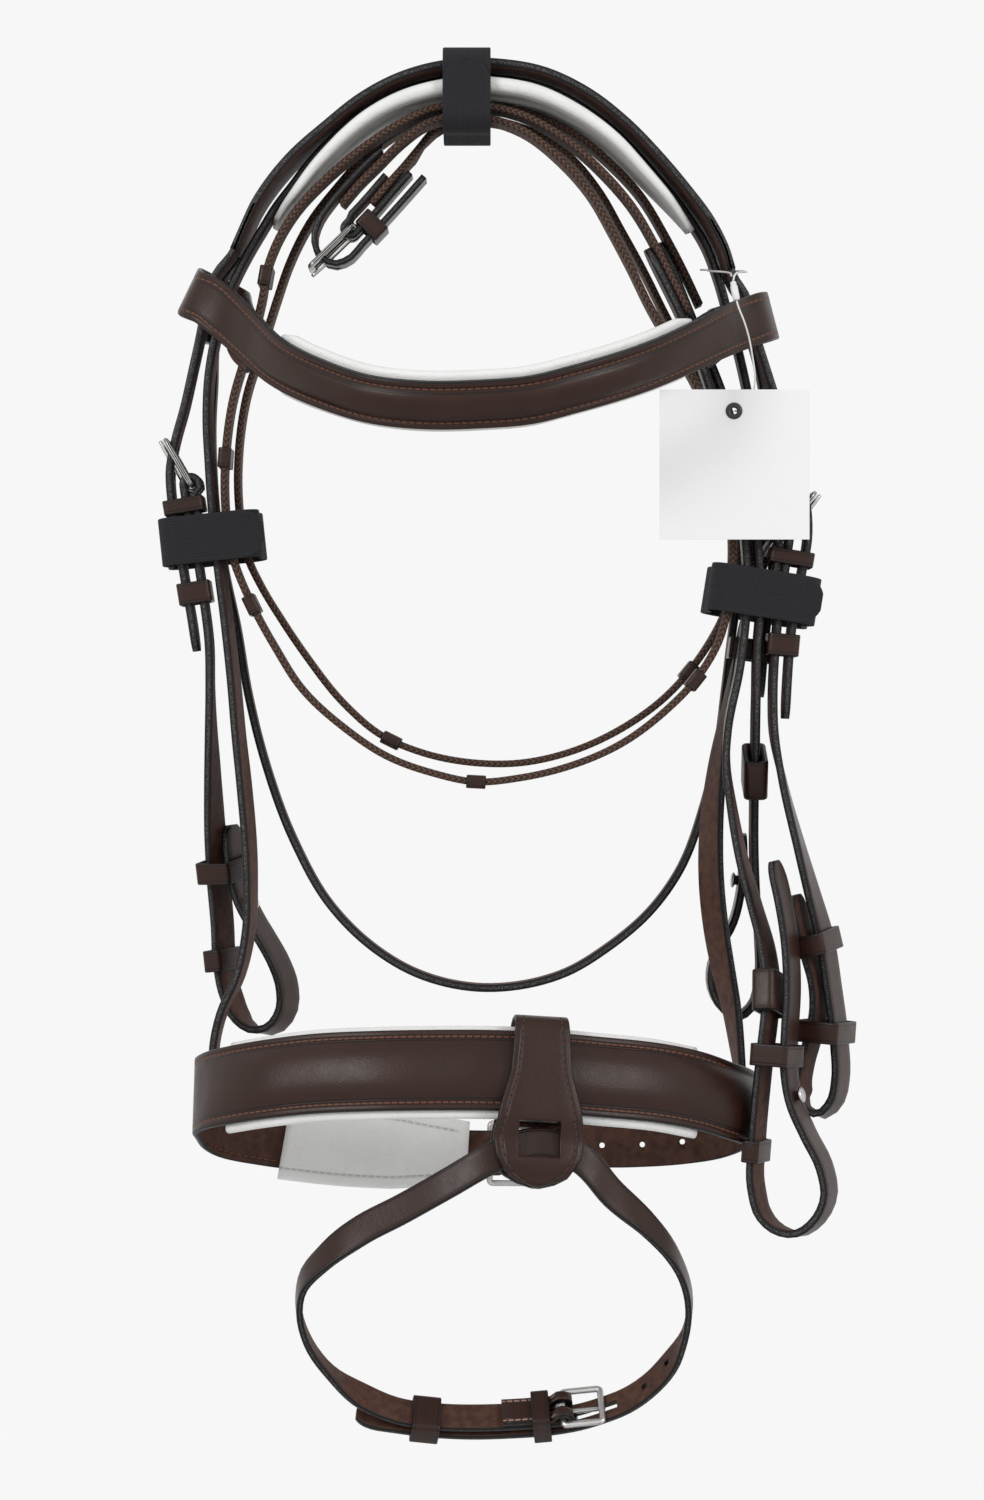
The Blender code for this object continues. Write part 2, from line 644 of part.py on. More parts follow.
THROAT_PIXELS = ((219, 312), (214, 345), (213, 380), (211, 420), (212, 470), (216, 520), (224, 570),
                 (236, 626), (247, 691), (264, 760), (294, 842), (329, 904), (373, 948), (417, 974),
                 (476, 988), (520, 986), (564, 974), (608, 948), (652, 910), (681, 869), (705, 804),
                 (718, 750), (726, 690), (732, 640), (738, 600), (746, 560), (754, 525))
THROAT_DEPTHS = (BACK_LANE, BACK_LANE, BACK_LANE, BACK_LANE, MIDDLE_LANE, BACK_LANE, DEEP_LANE, DEEP_LANE,
                 DEEP_LANE)
THROAT_LINE = stations(route(THROAT_PIXELS, THROAT_DEPTHS, (turned(0),)))
THROAT_LINE, THROAT_BAR, THROAT_SLOT = fold(THROAT_LINE, FOLD_RADIUS, SEAT, SHORT_CHAPE_LENGTH, side=1)
ribbon("throatlatch", THROAT_LINE, THROAT_WIDTH, LEATHER, BROWN, holes=(THROAT_SLOT,))

HANGER_PIXELS = ((743, 1088), (742, 1055), (739, 1012), (733, 970), (727, 930), (722, 880), (721, 830),
                 (724, 770), (731, 710), (738, 660), (746, 620), (757, 590), (764, 565))
HANGER_TURNS = [turned(angle) for angle in (0, -10, -20, -30, -34, -34, -30, -20, -8, 0, 0, 0, 0)]
HANGER_LINE = stations(route(HANGER_PIXELS, (BACK_LANE,), HANGER_TURNS))
HANGER_LINE, HANGER_BAR, HANGER_SLOT = fold(HANGER_LINE, FOLD_RADIUS, SEAT, SHORT_CHAPE_LENGTH, side=1)
ribbon("noseband_hanger", HANGER_LINE, SLIPHEAD_WIDTH, LEATHER, BROWN, holes=(HANGER_SLOT,))


# Padded browband

BROWBAND_BULGE = 0.095
LOOP_LEFT_PIXELS = ((260, 352), (249, 342), (242, 332), (239, 322), (238, 316), (234, 311), (223, 305),
                    (207, 298), (197, 293), (192, 291), (191, 292), (193, 295))
LOOP_RIGHT_PIXELS = ((763, 317), (769, 316), (770, 316), (768, 317), (759, 320), (738, 326), (724, 330),
                     (718, 332), (717, 333), (715, 335), (709, 339), (701, 345))
LOOP_DEPTH_SHARES = (-0.43, -0.36, -0.25, -0.08, 0.15, 0.262, 0.268, 0.262, 0.17, 0.0, -0.135, -0.215)
BROWBAND_PIXELS = ((206, 300), (224, 314), (250, 338), (274, 360), (324, 385), (374, 400), (424, 405),
                   (482, 404), (530, 400), (575, 389), (649, 366), (699, 344), (722, 333), (738, 326),
                   (752, 321))
BROWBAND_DEPTH_SHARES = (-0.262, -0.315, -0.45, -0.59, -0.79, -0.93, -0.99, -1.0, -0.99, -0.94, -0.77,
                         -0.58, -0.46, -0.35, -0.268)
LOOP_LEAN_LEFT = (0.43, 0.0, 0.9)
LOOP_LEAN_RIGHT = (-0.25, 0.0, 0.97)
BROW_LEAN = (0.0, -0.5, 0.87)


def deep(shares, size):
    return [share * size for share in shares]


BROW_FRONT = route(BROWBAND_PIXELS, deep(BROWBAND_DEPTH_SHARES, BROWBAND_BULGE),
                   (LOOP_LEAN_LEFT, (0.25, -0.3, 0.9), BROW_LEAN, BROW_LEAN, BROW_LEAN, (-0.1, -0.3, 0.9),
                    LOOP_LEAN_RIGHT))
BROW_LEFT = route(LOOP_LEFT_PIXELS, deep(LOOP_DEPTH_SHARES, BROWBAND_BULGE), (LOOP_LEAN_LEFT,))
BROW_RIGHT = route(LOOP_RIGHT_PIXELS, deep(LOOP_DEPTH_SHARES[::-1], BROWBAND_BULGE), (LOOP_LEAN_RIGHT,))
BROW_LINE = stations(BROW_LEFT + BROW_FRONT + BROW_RIGHT, step=ROUTE_STEP)
BROW_SWELL_SHARES = ((0.0, 0.0), (0.3, 0.0), (0.38, 1.0), (0.62, 1.0), (0.7, 0.0), (1.0, 0.0))
ribbon("browband", BROW_LINE, BROWBAND_WIDTH, BAND_LEATHER, BROWN, side=0.5,
       across=RAISED_SHARES, relief=BROWBAND_RELIEF, swell=BROW_SWELL_SHARES)
BAND_LIFT = -(BAND_LEATHER / 2 + SEAT + LINING / 2)
BROW_LINING_LINE = stations(BROW_FRONT[2:12])[2:]
ribbon("browband_lining", BROW_LINING_LINE, BROWBAND_WIDTH + 2 * LINING_STAND, LINING,
       WHITE, side=0.5, lift=BAND_LIFT)


# Padded noseband

NOSE_DEPTH = 0.075
NOSEBAND_PIXELS = ((468, 1153), (420, 1150), (340, 1143), (270, 1132), (225, 1120), (206, 1108),
                   (199, 1100), (197, 1096), (205, 1091), (225, 1086), (260, 1080), (310, 1074),
                   (375, 1071), (440, 1070), (476, 1070), (540, 1072), (600, 1077), (659, 1083),
                   (700, 1091), (730, 1101), (750, 1108), (757, 1114), (757, 1120))
NOSEBAND_DEPTH_SHARES = (0.33, 0.33, 0.33, 0.3, 0.21, 0.07, -0.1, -0.22, -0.36, -0.52, -0.68, -0.81, -0.93,
                         -0.98, -1.0, -0.985, -0.92, -0.79, -0.64, -0.48, -0.28, -0.05, 0.26)
NOSE_SIDE = (0.0, 0.38, 0.92)
NOSE_FRONT = (0.0, 0.32, 0.95)
NOSE_REAR = (0.0, 0.1, 0.99)
NOSE_ROUTE = route(NOSEBAND_PIXELS, deep(NOSEBAND_DEPTH_SHARES, NOSE_DEPTH),
                   (NOSE_REAR, NOSE_REAR, NOSE_SIDE, NOSE_FRONT, NOSE_FRONT, NOSE_FRONT, NOSE_SIDE))
NOSE_LINE = stations(NOSE_ROUTE, step=ROUTE_STEP * 1.1)
NOSE_SWELL_SHARES = ((0.0, 0.0), (0.34, 0.0), (0.42, 1.0), (0.9, 1.0), (1.0, 0.0))
NOSE_WIDE_SHARES = ((0.0, 0.62), (0.1, 0.75), (0.26, 1.0), (1.0, 1.0))
ribbon("noseband", NOSE_LINE, NOSEBAND_WIDTH, BAND_LEATHER, BROWN, side=0.5,
       across=RAISED_SHARES, relief=NOSEBAND_RELIEF, swell=NOSE_SWELL_SHARES,
       wide=NOSE_WIDE_SHARES)
NOSE_LINING_WIDTH = NOSEBAND_WIDTH + 2 * LINING_STAND
ribbon("noseband_lining_front", stations(NOSE_ROUTE[9:19]), NOSE_LINING_WIDTH, LINING,
       WHITE, side=0.5, lift=BAND_LIFT)
ribbon("noseband_lining_rear", stations(NOSE_ROUTE[:4])[:-1], NOSE_LINING_WIDTH, LINING,
       WHITE, side=0.5, lift=BAND_LIFT, wide=((0.0, 0.7), (0.4, 0.9), (1.0, 1.0)))


# Strap that runs back from the noseband's right end to its buckle behind the chin

BACK_BILLET_PIXELS = ((746, 1116), (746, 1120), (740, 1128), (718, 1136), (680, 1142), (630, 1145),
                      (590, 1146), (560, 1151), (540, 1152), (515, 1152), (490, 1153), (470, 1153), (440, 1153),
                      (405, 1151))
BACK_BILLET_DEPTH_SHARES = (-0.02, 0.1, 0.25, 0.35, 0.38, 0.385, 0.39, 0.395, 0.405, 0.47, 0.535, 0.545,
                            0.545, 0.545)
BACK_BILLET_LINE = stations(route(BACK_BILLET_PIXELS, deep(BACK_BILLET_DEPTH_SHARES, NOSE_DEPTH),
                                  (NOSE_SIDE, NOSE_REAR, NOSE_REAR, NOSE_REAR)), tips=(False, True))
BACK_CHAPE_PIXELS = ((425, 1152), (445, 1152.3), (468, 1152.7), (490, 1153))
BACK_CHAPE_DEPTH = (NOSEBAND_DEPTH_SHARES[0] * NOSE_DEPTH + BAND_LEATHER / 2 + SEAT + LEATHER / 2,)
BACK_CHAPE_LINE = stations(route(BACK_CHAPE_PIXELS, BACK_CHAPE_DEPTH, (NOSE_REAR,)), step=ROUTE_STEP / 2)


# Flash tab: a wide loop over the noseband whose two layers hold the flash strap

TAB_LEATHER = 0.0026
TAB_WIDTH = 0.0385
TAB_DROP = 0.049
TAB_SLOT_DROP = 0.030
TAB_SLOT_HALF = 0.0046
TAB_SLACK = 0.0022
TAB_WINDOW = (0.0175, 0.0145)
TAB_PIXEL = (539, 1072)


def tab_line():
    """Front layer up over the noseband's top edge and down behind its lining."""
    carrier = between(NOSE_LINE, *TAB_PIXEL)
    front = BAND_LEATHER / 2 + NOSEBAND_RELIEF + TAB_SLACK + TAB_LEATHER / 2
    back = -(BAND_LEATHER / 2 + SEAT + LINING + TAB_SLACK + TAB_LEATHER / 2)
    edge = NOSE_LINING_WIDTH / 2 + LOOSE
    middle = (front + back) / 2
    shut = (TAB_LEATHER + SEAT) / 2 * 1.1
    path = [(shut, -TAB_DROP), (shut * 1.3, -TAB_DROP * 0.95), (TAB_SLOT_HALF * 0.96, -TAB_DROP * 0.84),
            (TAB_SLOT_HALF, -TAB_SLOT_DROP), (front * 0.92, -edge), (front, -edge * 0.5), (front, 0.0),
            (front, edge * 0.6), (front * 0.85, edge * 0.95), (middle, edge + TAB_LEATHER * 0.8),
            (back * 0.95, edge * 0.97), (back, edge * 0.6), (back, 0.0), (back, -edge),
            (-TAB_SLOT_HALF * 1.2, -edge * 1.2), (-TAB_SLOT_HALF, -TAB_SLOT_DROP),
            (-TAB_SLOT_HALF * 0.96, -TAB_DROP * 0.84), (-shut * 1.3, -TAB_DROP * 0.95), (-shut, -TAB_DROP)]
    controls = []
    for out, up in path:
        point = carrier.point + carrier.face * out + carrier.width * up
        controls.append(np.array([*point, *carrier.tangent]))
    return carrier, stations(controls, step=ROUTE_STEP * 0.36)


TAB_CARRIER, TAB_LINE = tab_line()
TAB_WIDE_SHARES = ((0.0, 0.12), (0.012, 0.45), (0.035, 0.72), (0.075, 0.93), (0.13, 1.0), (0.21, 0.88),
                   (0.3, 0.68), (0.44, 0.59), (0.56, 0.59), (0.7, 0.68), (0.79, 0.88), (0.87, 1.0),
                   (0.925, 0.93), (0.965, 0.72), (0.988, 0.45), (1.0, 0.12))
TAB = ribbon("flash_tab", TAB_LINE, TAB_WIDTH, TAB_LEATHER, BROWN, side=0.5, wide=TAB_WIDE_SHARES)
SLOT_CENTRE = TAB_CARRIER.point - TAB_CARRIER.width * TAB_SLOT_DROP
cut_box(TAB, SLOT_CENTRE + TAB_CARRIER.face * (TAB_SLOT_HALF + TAB_LEATHER),
        (TAB_CARRIER.tangent, TAB_CARRIER.width, TAB_CARRIER.face),
        (*TAB_WINDOW, TAB_SLOT_HALF * 2))


# Flash strap: from its buckle up through the tab and round to its tip behind the buckle

FLASH_CHAPE_LENGTH = 0.026
FLASH_DEPTH = -SLOT_CENTRE.y
FLASH_PIXELS = ((563, 1413), (540, 1415), (510, 1417), (480, 1418), (440, 1417), (394, 1410), (362, 1396),
                (331, 1373), (308, 1342), (299, 1310), (303, 1283), (325, 1257), (360, 1231), (402, 1209),
                (450, 1182), (490, 1159), (515, 1147), (538, 1143), (561, 1147), (584, 1161), (612, 1193),
                (648, 1225), (669, 1249), (683, 1275), (689, 1301), (686, 1332), (672, 1360), (652, 1383),
                (628, 1400), (602, 1410.5), (580, 1417), (555, 1421.5), (510, 1425), (470, 1426), (430, 1424),
                (390, 1419), (356, 1414))
FLASH_DEPTH_SHARES = (-0.62, -0.62, -0.62, -0.63, -0.64, -0.66, -0.68, -0.7, -0.73, -0.77, -0.8, -0.84, -0.88,
                      -0.95, -1.03, -1.055, -1.024, -1.0, -0.998, -1.004, -0.98, -0.93, -0.89, -0.85, -0.8,
                      -0.76, -0.72, -0.69, -0.66, -0.63, -0.605, -0.585, -0.582, -0.592, -0.605, -0.625, -0.64)
FLASH_FACE = (0.0, 0.3, 0.95)
FLASH_SIDE = (-0.1, 1.0, 0.35)
FLASH_SIDE_RIGHT = (0.1, 1.0, 0.35)
FLASH_LOW = (0.0, 0.72, 0.69)
FLASH_GUIDES = ((FLASH_LOW,) * 7 + (FLASH_SIDE,) * 3 + ((-0.05, 0.8, 0.6), (0.0, 0.6, 0.8))
                + (FLASH_FACE,) * 9 + ((0.0, 0.6, 0.8), (0.05, 0.8, 0.6)) + (FLASH_SIDE_RIGHT,) * 3
                + (FLASH_LOW,) * 11)
FLASH_CONTROLS = route(FLASH_PIXELS, deep(FLASH_DEPTH_SHARES, FLASH_DEPTH), FLASH_GUIDES)
FLASH_FOLD = WIRE_RADIUS + SEAT + FLASH_LEATHER / 2
FLASH_LINE = stations(FLASH_CONTROLS[::-1], tips=(True, False), step=ROUTE_STEP * 0.8)
FLASH_LINE, FLASH_BAR, FLASH_SLOT = fold(FLASH_LINE, FLASH_FOLD, SEAT, FLASH_CHAPE_LENGTH, side=1,
                                         thickness=FLASH_LEATHER)
FLASH_PIVOT = SLOT_CENTRE.copy()


# Reins: a long web with a leather end for the bit and another for the hand buckle

REIN_FRONT_PIXELS = ((690, 312), (672, 277), (655, 243), (633, 206), (604, 172), (565, 138), (520, 113),
                     (468, 104), (434, 107), (400, 122), (362, 147), (325, 178), (296, 209), (277, 240),
                     (267, 266), (262, 296), (255, 325), (246, 352), (232, 400), (225, 450), (224, 500),
                     (230, 550), (252, 606), (275, 648), (300, 687), (344, 728), (388, 757), (432, 773),
                     (476, 782), (520, 778), (564, 768), (623, 743), (667, 710), (700, 675), (720, 640),
                     (730, 600), (733, 560), (730, 500), (717, 440), (697, 385), (672, 343), (650, 305),
                     (632, 268), (612, 230), (590, 192), (560, 158), (524, 130), (492, 118), (468, 115),
                     (446, 116.5), (424, 124), (401, 141), (377, 165), (357, 185), (342, 203))
REIN_BACK_PIXELS = ((700, 304), (684, 270), (664, 232), (642, 196), (614, 165), (576, 134), (520, 110),
                    (468, 105), (440, 109), (412, 122), (386, 138), (360, 160), (337, 186), (310, 221),
                    (290, 260), (276, 300), (262, 345), (246, 395), (238, 450), (238, 505), (246, 555),
                    (260, 585), (280, 618), (305, 655), (344, 704), (379, 734), (423, 753), (476, 763),
                    (520, 763), (564, 754), (623, 728), (667, 696), (700, 658), (725, 615), (738, 580),
                    (740, 550), (739, 510), (733, 465), (716, 410), (692, 360), (668, 318), (644, 270),
                    (622, 230), (599, 190), (566, 152), (520, 126), (470, 118), (450, 121), (433, 131),
                    (420, 146), (405.5, 163.5), (388.5, 182.5), (371.5, 202.5))
HAND_BLEND = 5
HAND_LEVEL = 2
HAND_LANE = BACK_LANE - 2 * LOOSE - KEEPER_WALL - REIN_WIDTH
HAND_LEATHER = 0.0028


def rein_depths(lane, count):
    """A web keeps its lane until its last few points, where both come together at the hand buckle."""
    blend = list(np.linspace(lane, HAND_LANE, HAND_BLEND - HAND_LEVEL + 1))
    return [lane] * (count - HAND_BLEND) + blend + [HAND_LANE] * (HAND_LEVEL - 1)


REIN_FRONT_LINE = stations(route(REIN_FRONT_PIXELS, rein_depths(FRONT_LANE, len(REIN_FRONT_PIXELS)),
                                 (turned(0),)), step=ROUTE_STEP * 1.2)
REIN_STOP_LENGTH = 0.0085


def stops(line, spots):
    """The runs of a web that its leather stops cover."""
    runs = [between(line, *spot).run for spot in spots]
    return [(run - REIN_STOP_LENGTH / 2, run + REIN_STOP_LENGTH / 2) for run in runs]


FRONT_STOPS = ((264, 275), (236, 458), (252, 604), (476, 782), (696, 680))
BACK_STOPS = ((372, 150), (391, 740), (690, 672))
ribbon("rein_web_front", REIN_FRONT_LINE, REIN_WIDTH, WEB, BRAID, wraps=stops(REIN_FRONT_LINE, FRONT_STOPS))
REIN_BACK_LINE = stations(route(REIN_BACK_PIXELS, rein_depths(BACK_LANE, len(REIN_BACK_PIXELS)),
                                (turned(0),)), step=ROUTE_STEP * 1.2)
ribbon("rein_web_back", REIN_BACK_LINE, REIN_WIDTH, WEB, BRAID, wraps=stops(REIN_BACK_LINE, BACK_STOPS))

HAND_CHAPE_LENGTH = 0.028
HAND_BILLET_PIXELS = ((381, 149), (366, 163), (348, 182), (331, 202), (319, 220), (314, 239), (319, 254),
                      (333, 263), (349, 258), (362, 244), (379, 226), (400, 203), (424, 176))
HAND_BILLET_LINE = stations(route(HAND_BILLET_PIXELS, (HAND_LANE,), (turned(0),)), step=ROUTE_STEP / 2)
HAND_CHAPE_PIXELS = ((410, 172), (394, 190), (376, 211), (355, 233))
HAND_CHAPE_LINE = stations(route(HAND_CHAPE_PIXELS, (HAND_LANE,), (turned(0),)), step=ROUTE_STEP / 2)
HAND_FOLD = WIRE_RADIUS + SEAT + HAND_LEATHER / 2
HAND_CHAPE_LINE, HAND_BAR, HAND_SLOT = fold(HAND_CHAPE_LINE, HAND_FOLD, WEB + 2 * LOOSE, HAND_CHAPE_LENGTH,
                                            side=-1, thickness=HAND_LEATHER)
ribbon("rein_hand_chape", HAND_CHAPE_LINE, REIN_WIDTH, HAND_LEATHER, BROWN, holes=(HAND_SLOT,))

REIN_END_PIXELS = ((648, 247), (665, 281), (681, 314), (697, 350), (712, 392), (727, 440), (739, 490),
                   (746, 540), (748, 590), (741, 665), (728, 732), (726, 765), (730, 805), (738, 855), (750, 905),
                   (761, 950), (765, 985), (763, 1020), (760, 1046), (756, 1084), (751, 1141), (750, 1189),
                   (759, 1218), (776, 1232), (795, 1234), (812, 1222), (823, 1199), (819, 1170), (803, 1137),
                   (789, 1105), (783, 1070), (784, 1030), (786, 990), (784, 945), (776, 895), (768, 862))
REIN_END_SHARES = ((1.0,) * 12 + (1.05, 1.2, 1.45, 1.75, 2.0, 2.2) + (2.3,) * 13
                   + (2.25, 2.15, 2.05, 2.0, 1.95))
REIN_END_DEPTHS = deep(REIN_END_SHARES, FRONT_LANE)
REIN_END_TURNS = [turned(angle) for angle in [0] * 10 + [2, 5, 9, 14, 19, 23] + [24] * 20]
REIN_END_LINE = stations(route(REIN_END_PIXELS, REIN_END_DEPTHS, REIN_END_TURNS), tips=(True, True))
ribbon("rein_end_front", REIN_END_LINE, REIN_WIDTH, LEATHER, BROWN, tips=(True, True))

REIN_END_BACK_PIXELS = ((660, 241), (675, 274), (688, 306), (704, 345), (722, 390), (738, 440), (750, 490),
                        (758, 540), (761, 610), (758, 650), (757, 700), (756, 768), (755, 815), (755, 846),
                        (757, 900), (760, 940), (760, 980), (752, 1008), (738, 1018), (722, 1008),
                        (712, 988), (712, 968), (722, 945), (733, 925), (741, 895), (744, 865), (744, 838))
REIN_END_BACK_DEPTHS = ((BACK_LANE,) * 3 + (0.25 * FRONT_LANE, 0.75 * FRONT_LANE) + (FRONT_LANE,) * 6
                        + (0.35 * FRONT_LANE, MIDDLE_LANE + 2 * BACK_LANE + 0.25 * REIN_WIDTH,
                           0.4 * REIN_WIDTH, 0.9 * REIN_WIDTH) + (1.4 * REIN_WIDTH,) * 9
                        + (1.3 * REIN_WIDTH, 1.15 * REIN_WIDTH, REIN_WIDTH))
REIN_END_BACK_LINE = stations(route(REIN_END_BACK_PIXELS, REIN_END_BACK_DEPTHS, (turned(0),)),
                              tips=(True, True))
ribbon("rein_end_back", REIN_END_BACK_LINE, REIN_WIDTH, LEATHER, BROWN, tips=(True, True))


# Rear strap of the noseband: the chape on its left end and the buckle behind the chin

BACK_LAYER_GAP = 2 * FOLD_RADIUS - LEATHER
BACK_CHAPE_LINE, BACK_BAR, BACK_SLOT = fold(BACK_CHAPE_LINE, FOLD_RADIUS, BACK_LAYER_GAP,
                                             SHORT_CHAPE_LENGTH, side=-1)
ribbon("noseband_chape", BACK_CHAPE_LINE, BACK_STRAP_WIDTH, LEATHER, BROWN, side=0.5, holes=(BACK_SLOT,))


# Buckles

BACKWARD = Vector((0, 1, 0))
LEFTWARD = Vector((-1, 0, 0))
RIGHTWARD = Vector((1, 0, 0))
DOWNWARD = Vector((0, 0, -1))
LEFT_HOLE = buckle("cheek_left", CHEEK_LEFT_BAR, place(166, 441, FRONT_LANE), BACKWARD, CHEEK_WIDTH,
                   LEFT_BILLET, outward=LEFTWARD)
RIGHT_HOLE = buckle("cheek_right", CHEEK_RIGHT_BAR, place(814, 494, FRONT_LANE), BACKWARD, CHEEK_WIDTH,
                    RIGHT_BILLET, outward=RIGHTWARD)
SLIPHEAD_HOLE = buckle("sliphead", HANGER_BAR, place(783, 523, BACK_LANE), BACKWARD, SLIPHEAD_WIDTH,
                       SLIPHEAD_LINE, outward=RIGHTWARD)
THROAT_HOLE = buckle("throat", THROAT_BAR, place(778, 486, DEEP_LANE), BACKWARD, THROAT_WIDTH,
                     THROAT_BILLET, outward=RIGHTWARD)
HAND_HOLE = buckle("rein", HAND_BAR, place(311, 266, HAND_LANE), BACKWARD, REIN_WIDTH,
                   HAND_BILLET_LINE, outward=DOWNWARD)
NOSE_BUCKLE_REACH = Vector((0.0185, 0.005, 0))
NOSE_HOLE = buckle("noseband", BACK_BAR, BACK_BAR + NOSE_BUCKLE_REACH, BACK_CHAPE_LINE[-FOLDED].width,
                   BACK_STRAP_WIDTH + 2 * EASY, BACK_BILLET_LINE, side=0.5, outward=BACKWARD)
FLASH_BUCKLE_REACH = Vector((0.0165, -0.001, 0.001))
FLASH_HOLE = buckle("flash", FLASH_BAR, FLASH_BAR + FLASH_BUCKLE_REACH, FLASH_LINE[-FOLDED].width,
                    FLASH_WIDTH, FLASH_LINE[:20], side=0.5, outward=BACKWARD)


# Straps whose billets take a tongue

crown_strap((LEFT_BILLET, RIGHT_BILLET, THROAT_TAB, THROAT_BILLET),
            ((LEFT_HOLE,), (RIGHT_HOLE,), (), (THROAT_HOLE,)))
ribbon("sliphead_strap", SLIPHEAD_LINE, SLIPHEAD_WIDTH, LEATHER, BROWN, tips=(False, True),
       holes=(SLIPHEAD_HOLE,))
ribbon("noseband_billet", BACK_BILLET_LINE, BACK_STRAP_WIDTH, LEATHER, BROWN, side=0.5, tips=(False, True),
       holes=(NOSE_HOLE,))
ribbon("flash_strap", FLASH_LINE, FLASH_WIDTH, FLASH_LEATHER, BROWN, side=0.5, tips=(True, False),
       holes=(FLASH_HOLE, FLASH_SLOT))
ribbon("rein_hand_billet", HAND_BILLET_LINE, REIN_WIDTH, HAND_LEATHER, BROWN, holes=(HAND_HOLE,))


# Keepers

SHORT_KEEPER = 0.0075
LEFT_UP, LEFT_DOWN = legs(CHEEK_LEFT_LINE, 250, 1030)
RIGHT_UP, RIGHT_DOWN = legs(CHEEK_RIGHT_LINE, 817, 1114)
END_DOWN, END_UP = legs(REIN_END_LINE, 786, 1235)
RETURNED = LEATHER + 2 * SEAT
FIXED_KEEPER = 0.0065
keeper("cheek_left_fixed_keeper", LEFT_BILLET, LEFT_DOWN[:-FOLDED], (186, 505), length=FIXED_KEEPER,
       beyond=RETURNED)
keeper("cheek_left_sliding_keeper", LEFT_BILLET, LEFT_DOWN[:-FOLDED], (196, 592), moving=True)
keeper("cheek_right_fixed_keeper", RIGHT_BILLET, RIGHT_DOWN[:-FOLDED], (788, 556), length=FIXED_KEEPER,
       beyond=RETURNED)
keeper("cheek_right_sliding_keeper", RIGHT_BILLET, RIGHT_DOWN[:-FOLDED], (779, 644), moving=True)
keeper("sliphead_keeper", HANGER_LINE[:-FOLDED], SLIPHEAD_LINE[-8:], (750, 650),
       width=SLIPHEAD_WIDTH, slack=EASY, moving=True)
keeper("throat_keeper", THROAT_BILLET, THROAT_LINE[:-FOLDED], (756, 548), width=THROAT_WIDTH,
       length=SHORT_KEEPER, beyond=RETURNED)
keeper("cheek_left_upper_keeper", LEFT_UP, LEFT_DOWN, (219, 872), slack=EASY)
keeper("cheek_left_lower_keeper", LEFT_DOWN, LEFT_DOWN, (214, 961), slack=EASY)
keeper("cheek_right_upper_keeper", RIGHT_UP, RIGHT_DOWN, (806, 946), slack=EASY)
keeper("cheek_right_lower_keeper", RIGHT_UP, RIGHT_DOWN, (820, 1034), slack=EASY)
keeper("rein_upper_keeper", END_DOWN, END_UP, (772, 1056), width=REIN_WIDTH)
keeper("rein_lower_keeper", END_DOWN, END_DOWN, (752, 1152), width=REIN_WIDTH)
FLASH_NEAR = FLASH_LINE[-FOLDED - 20:-FOLDED]
FLASH_FAR = FLASH_LINE[:20]
keeper("flash_fixed_keeper", FLASH_FAR, FLASH_NEAR, (541, 1414), width=FLASH_WIDTH,
       thickness=FLASH_LEATHER, side=0.5, length=SHORT_KEEPER, beyond=FLASH_LEATHER + 2 * SEAT)
FLASH_KEEPER_LENGTH = 0.012
keeper("flash_sliding_keeper", FLASH_NEAR, FLASH_FAR, (427, 1408), width=FLASH_WIDTH,
       thickness=FLASH_LEATHER, side=0.5, length=FLASH_KEEPER_LENGTH, moving=True)
MARTINGALE_LENGTH = 0.018
MARTINGALE_WALL = 0.0026
MARTINGALE_SLACK = 0.001
keeper("martingale_stop_back", REIN_END_BACK_LINE, REIN_END_BACK_LINE, (756, 779), width=REIN_WIDTH,
       length=MARTINGALE_LENGTH, wall=MARTINGALE_WALL, slack=MARTINGALE_SLACK)
keeper("martingale_stop_front", END_DOWN, END_DOWN, (764, 990), width=REIN_WIDTH,
       length=MARTINGALE_LENGTH, wall=MARTINGALE_WALL, slack=MARTINGALE_SLACK)
HAND_KEEPER_LENGTH = 0.008
keeper("rein_hand_keeper", HAND_CHAPE_LINE[:-FOLDED], HAND_BILLET_LINE[-9:], (370, 223),
       width=REIN_WIDTH, thickness=HAND_LEATHER, length=HAND_KEEPER_LENGTH)


# Studs that close the bit ends

STUD_HEIGHT = 0.0036
STUD_SIDES = 10


def stud(strap, line, pixel, side, width):
    """A short round stud riveted to a strap's face, joined to the strap."""
    station = between(line, *pixel)
    outward = station.face * side
    foot = station.point + station.width * (width / 2)
    mesh = bpy.data.meshes.new("stud")
    bm = bmesh.new()
    rings = []
    top = LEATHER / 2 + STUD_HEIGHT
    for rise, radius in ((0.0, STUD_RADIUS * 0.7), (top - STUD_HEIGHT * 0.5, STUD_RADIUS * 0.7),
                         (top - STUD_HEIGHT * 0.4, STUD_RADIUS), (top, STUD_RADIUS * 0.8)):
        angles = [2 * math.pi * k / STUD_SIDES for k in range(STUD_SIDES)]
        rings.append([bm.verts.new(foot + outward * rise + station.width * math.cos(a) * radius
                                   + station.tangent * math.sin(a) * radius) for a in angles])
    for low, high in zip(rings, rings[1:]):
        for k in range(STUD_SIDES):
            after = (k + 1) % STUD_SIDES
            bm.faces.new((low[k], low[after], high[after], high[k]))
    bm.faces.new(rings[0])
    bm.faces.new(rings[-1])
    bmesh.ops.recalc_face_normals(bm, faces=bm.faces)
    bm.to_mesh(mesh)
    bm.free()
    joined = bpy.data.objects.new("stud", mesh)
    joined.hide_render = True
    joined.display_type = "WIRE"
    CUTTERS.objects.link(joined)
    union = bpy.data.objects[strap].modifiers.new("stud", "BOOLEAN")
    union.operation = "UNION"
    union.object = joined


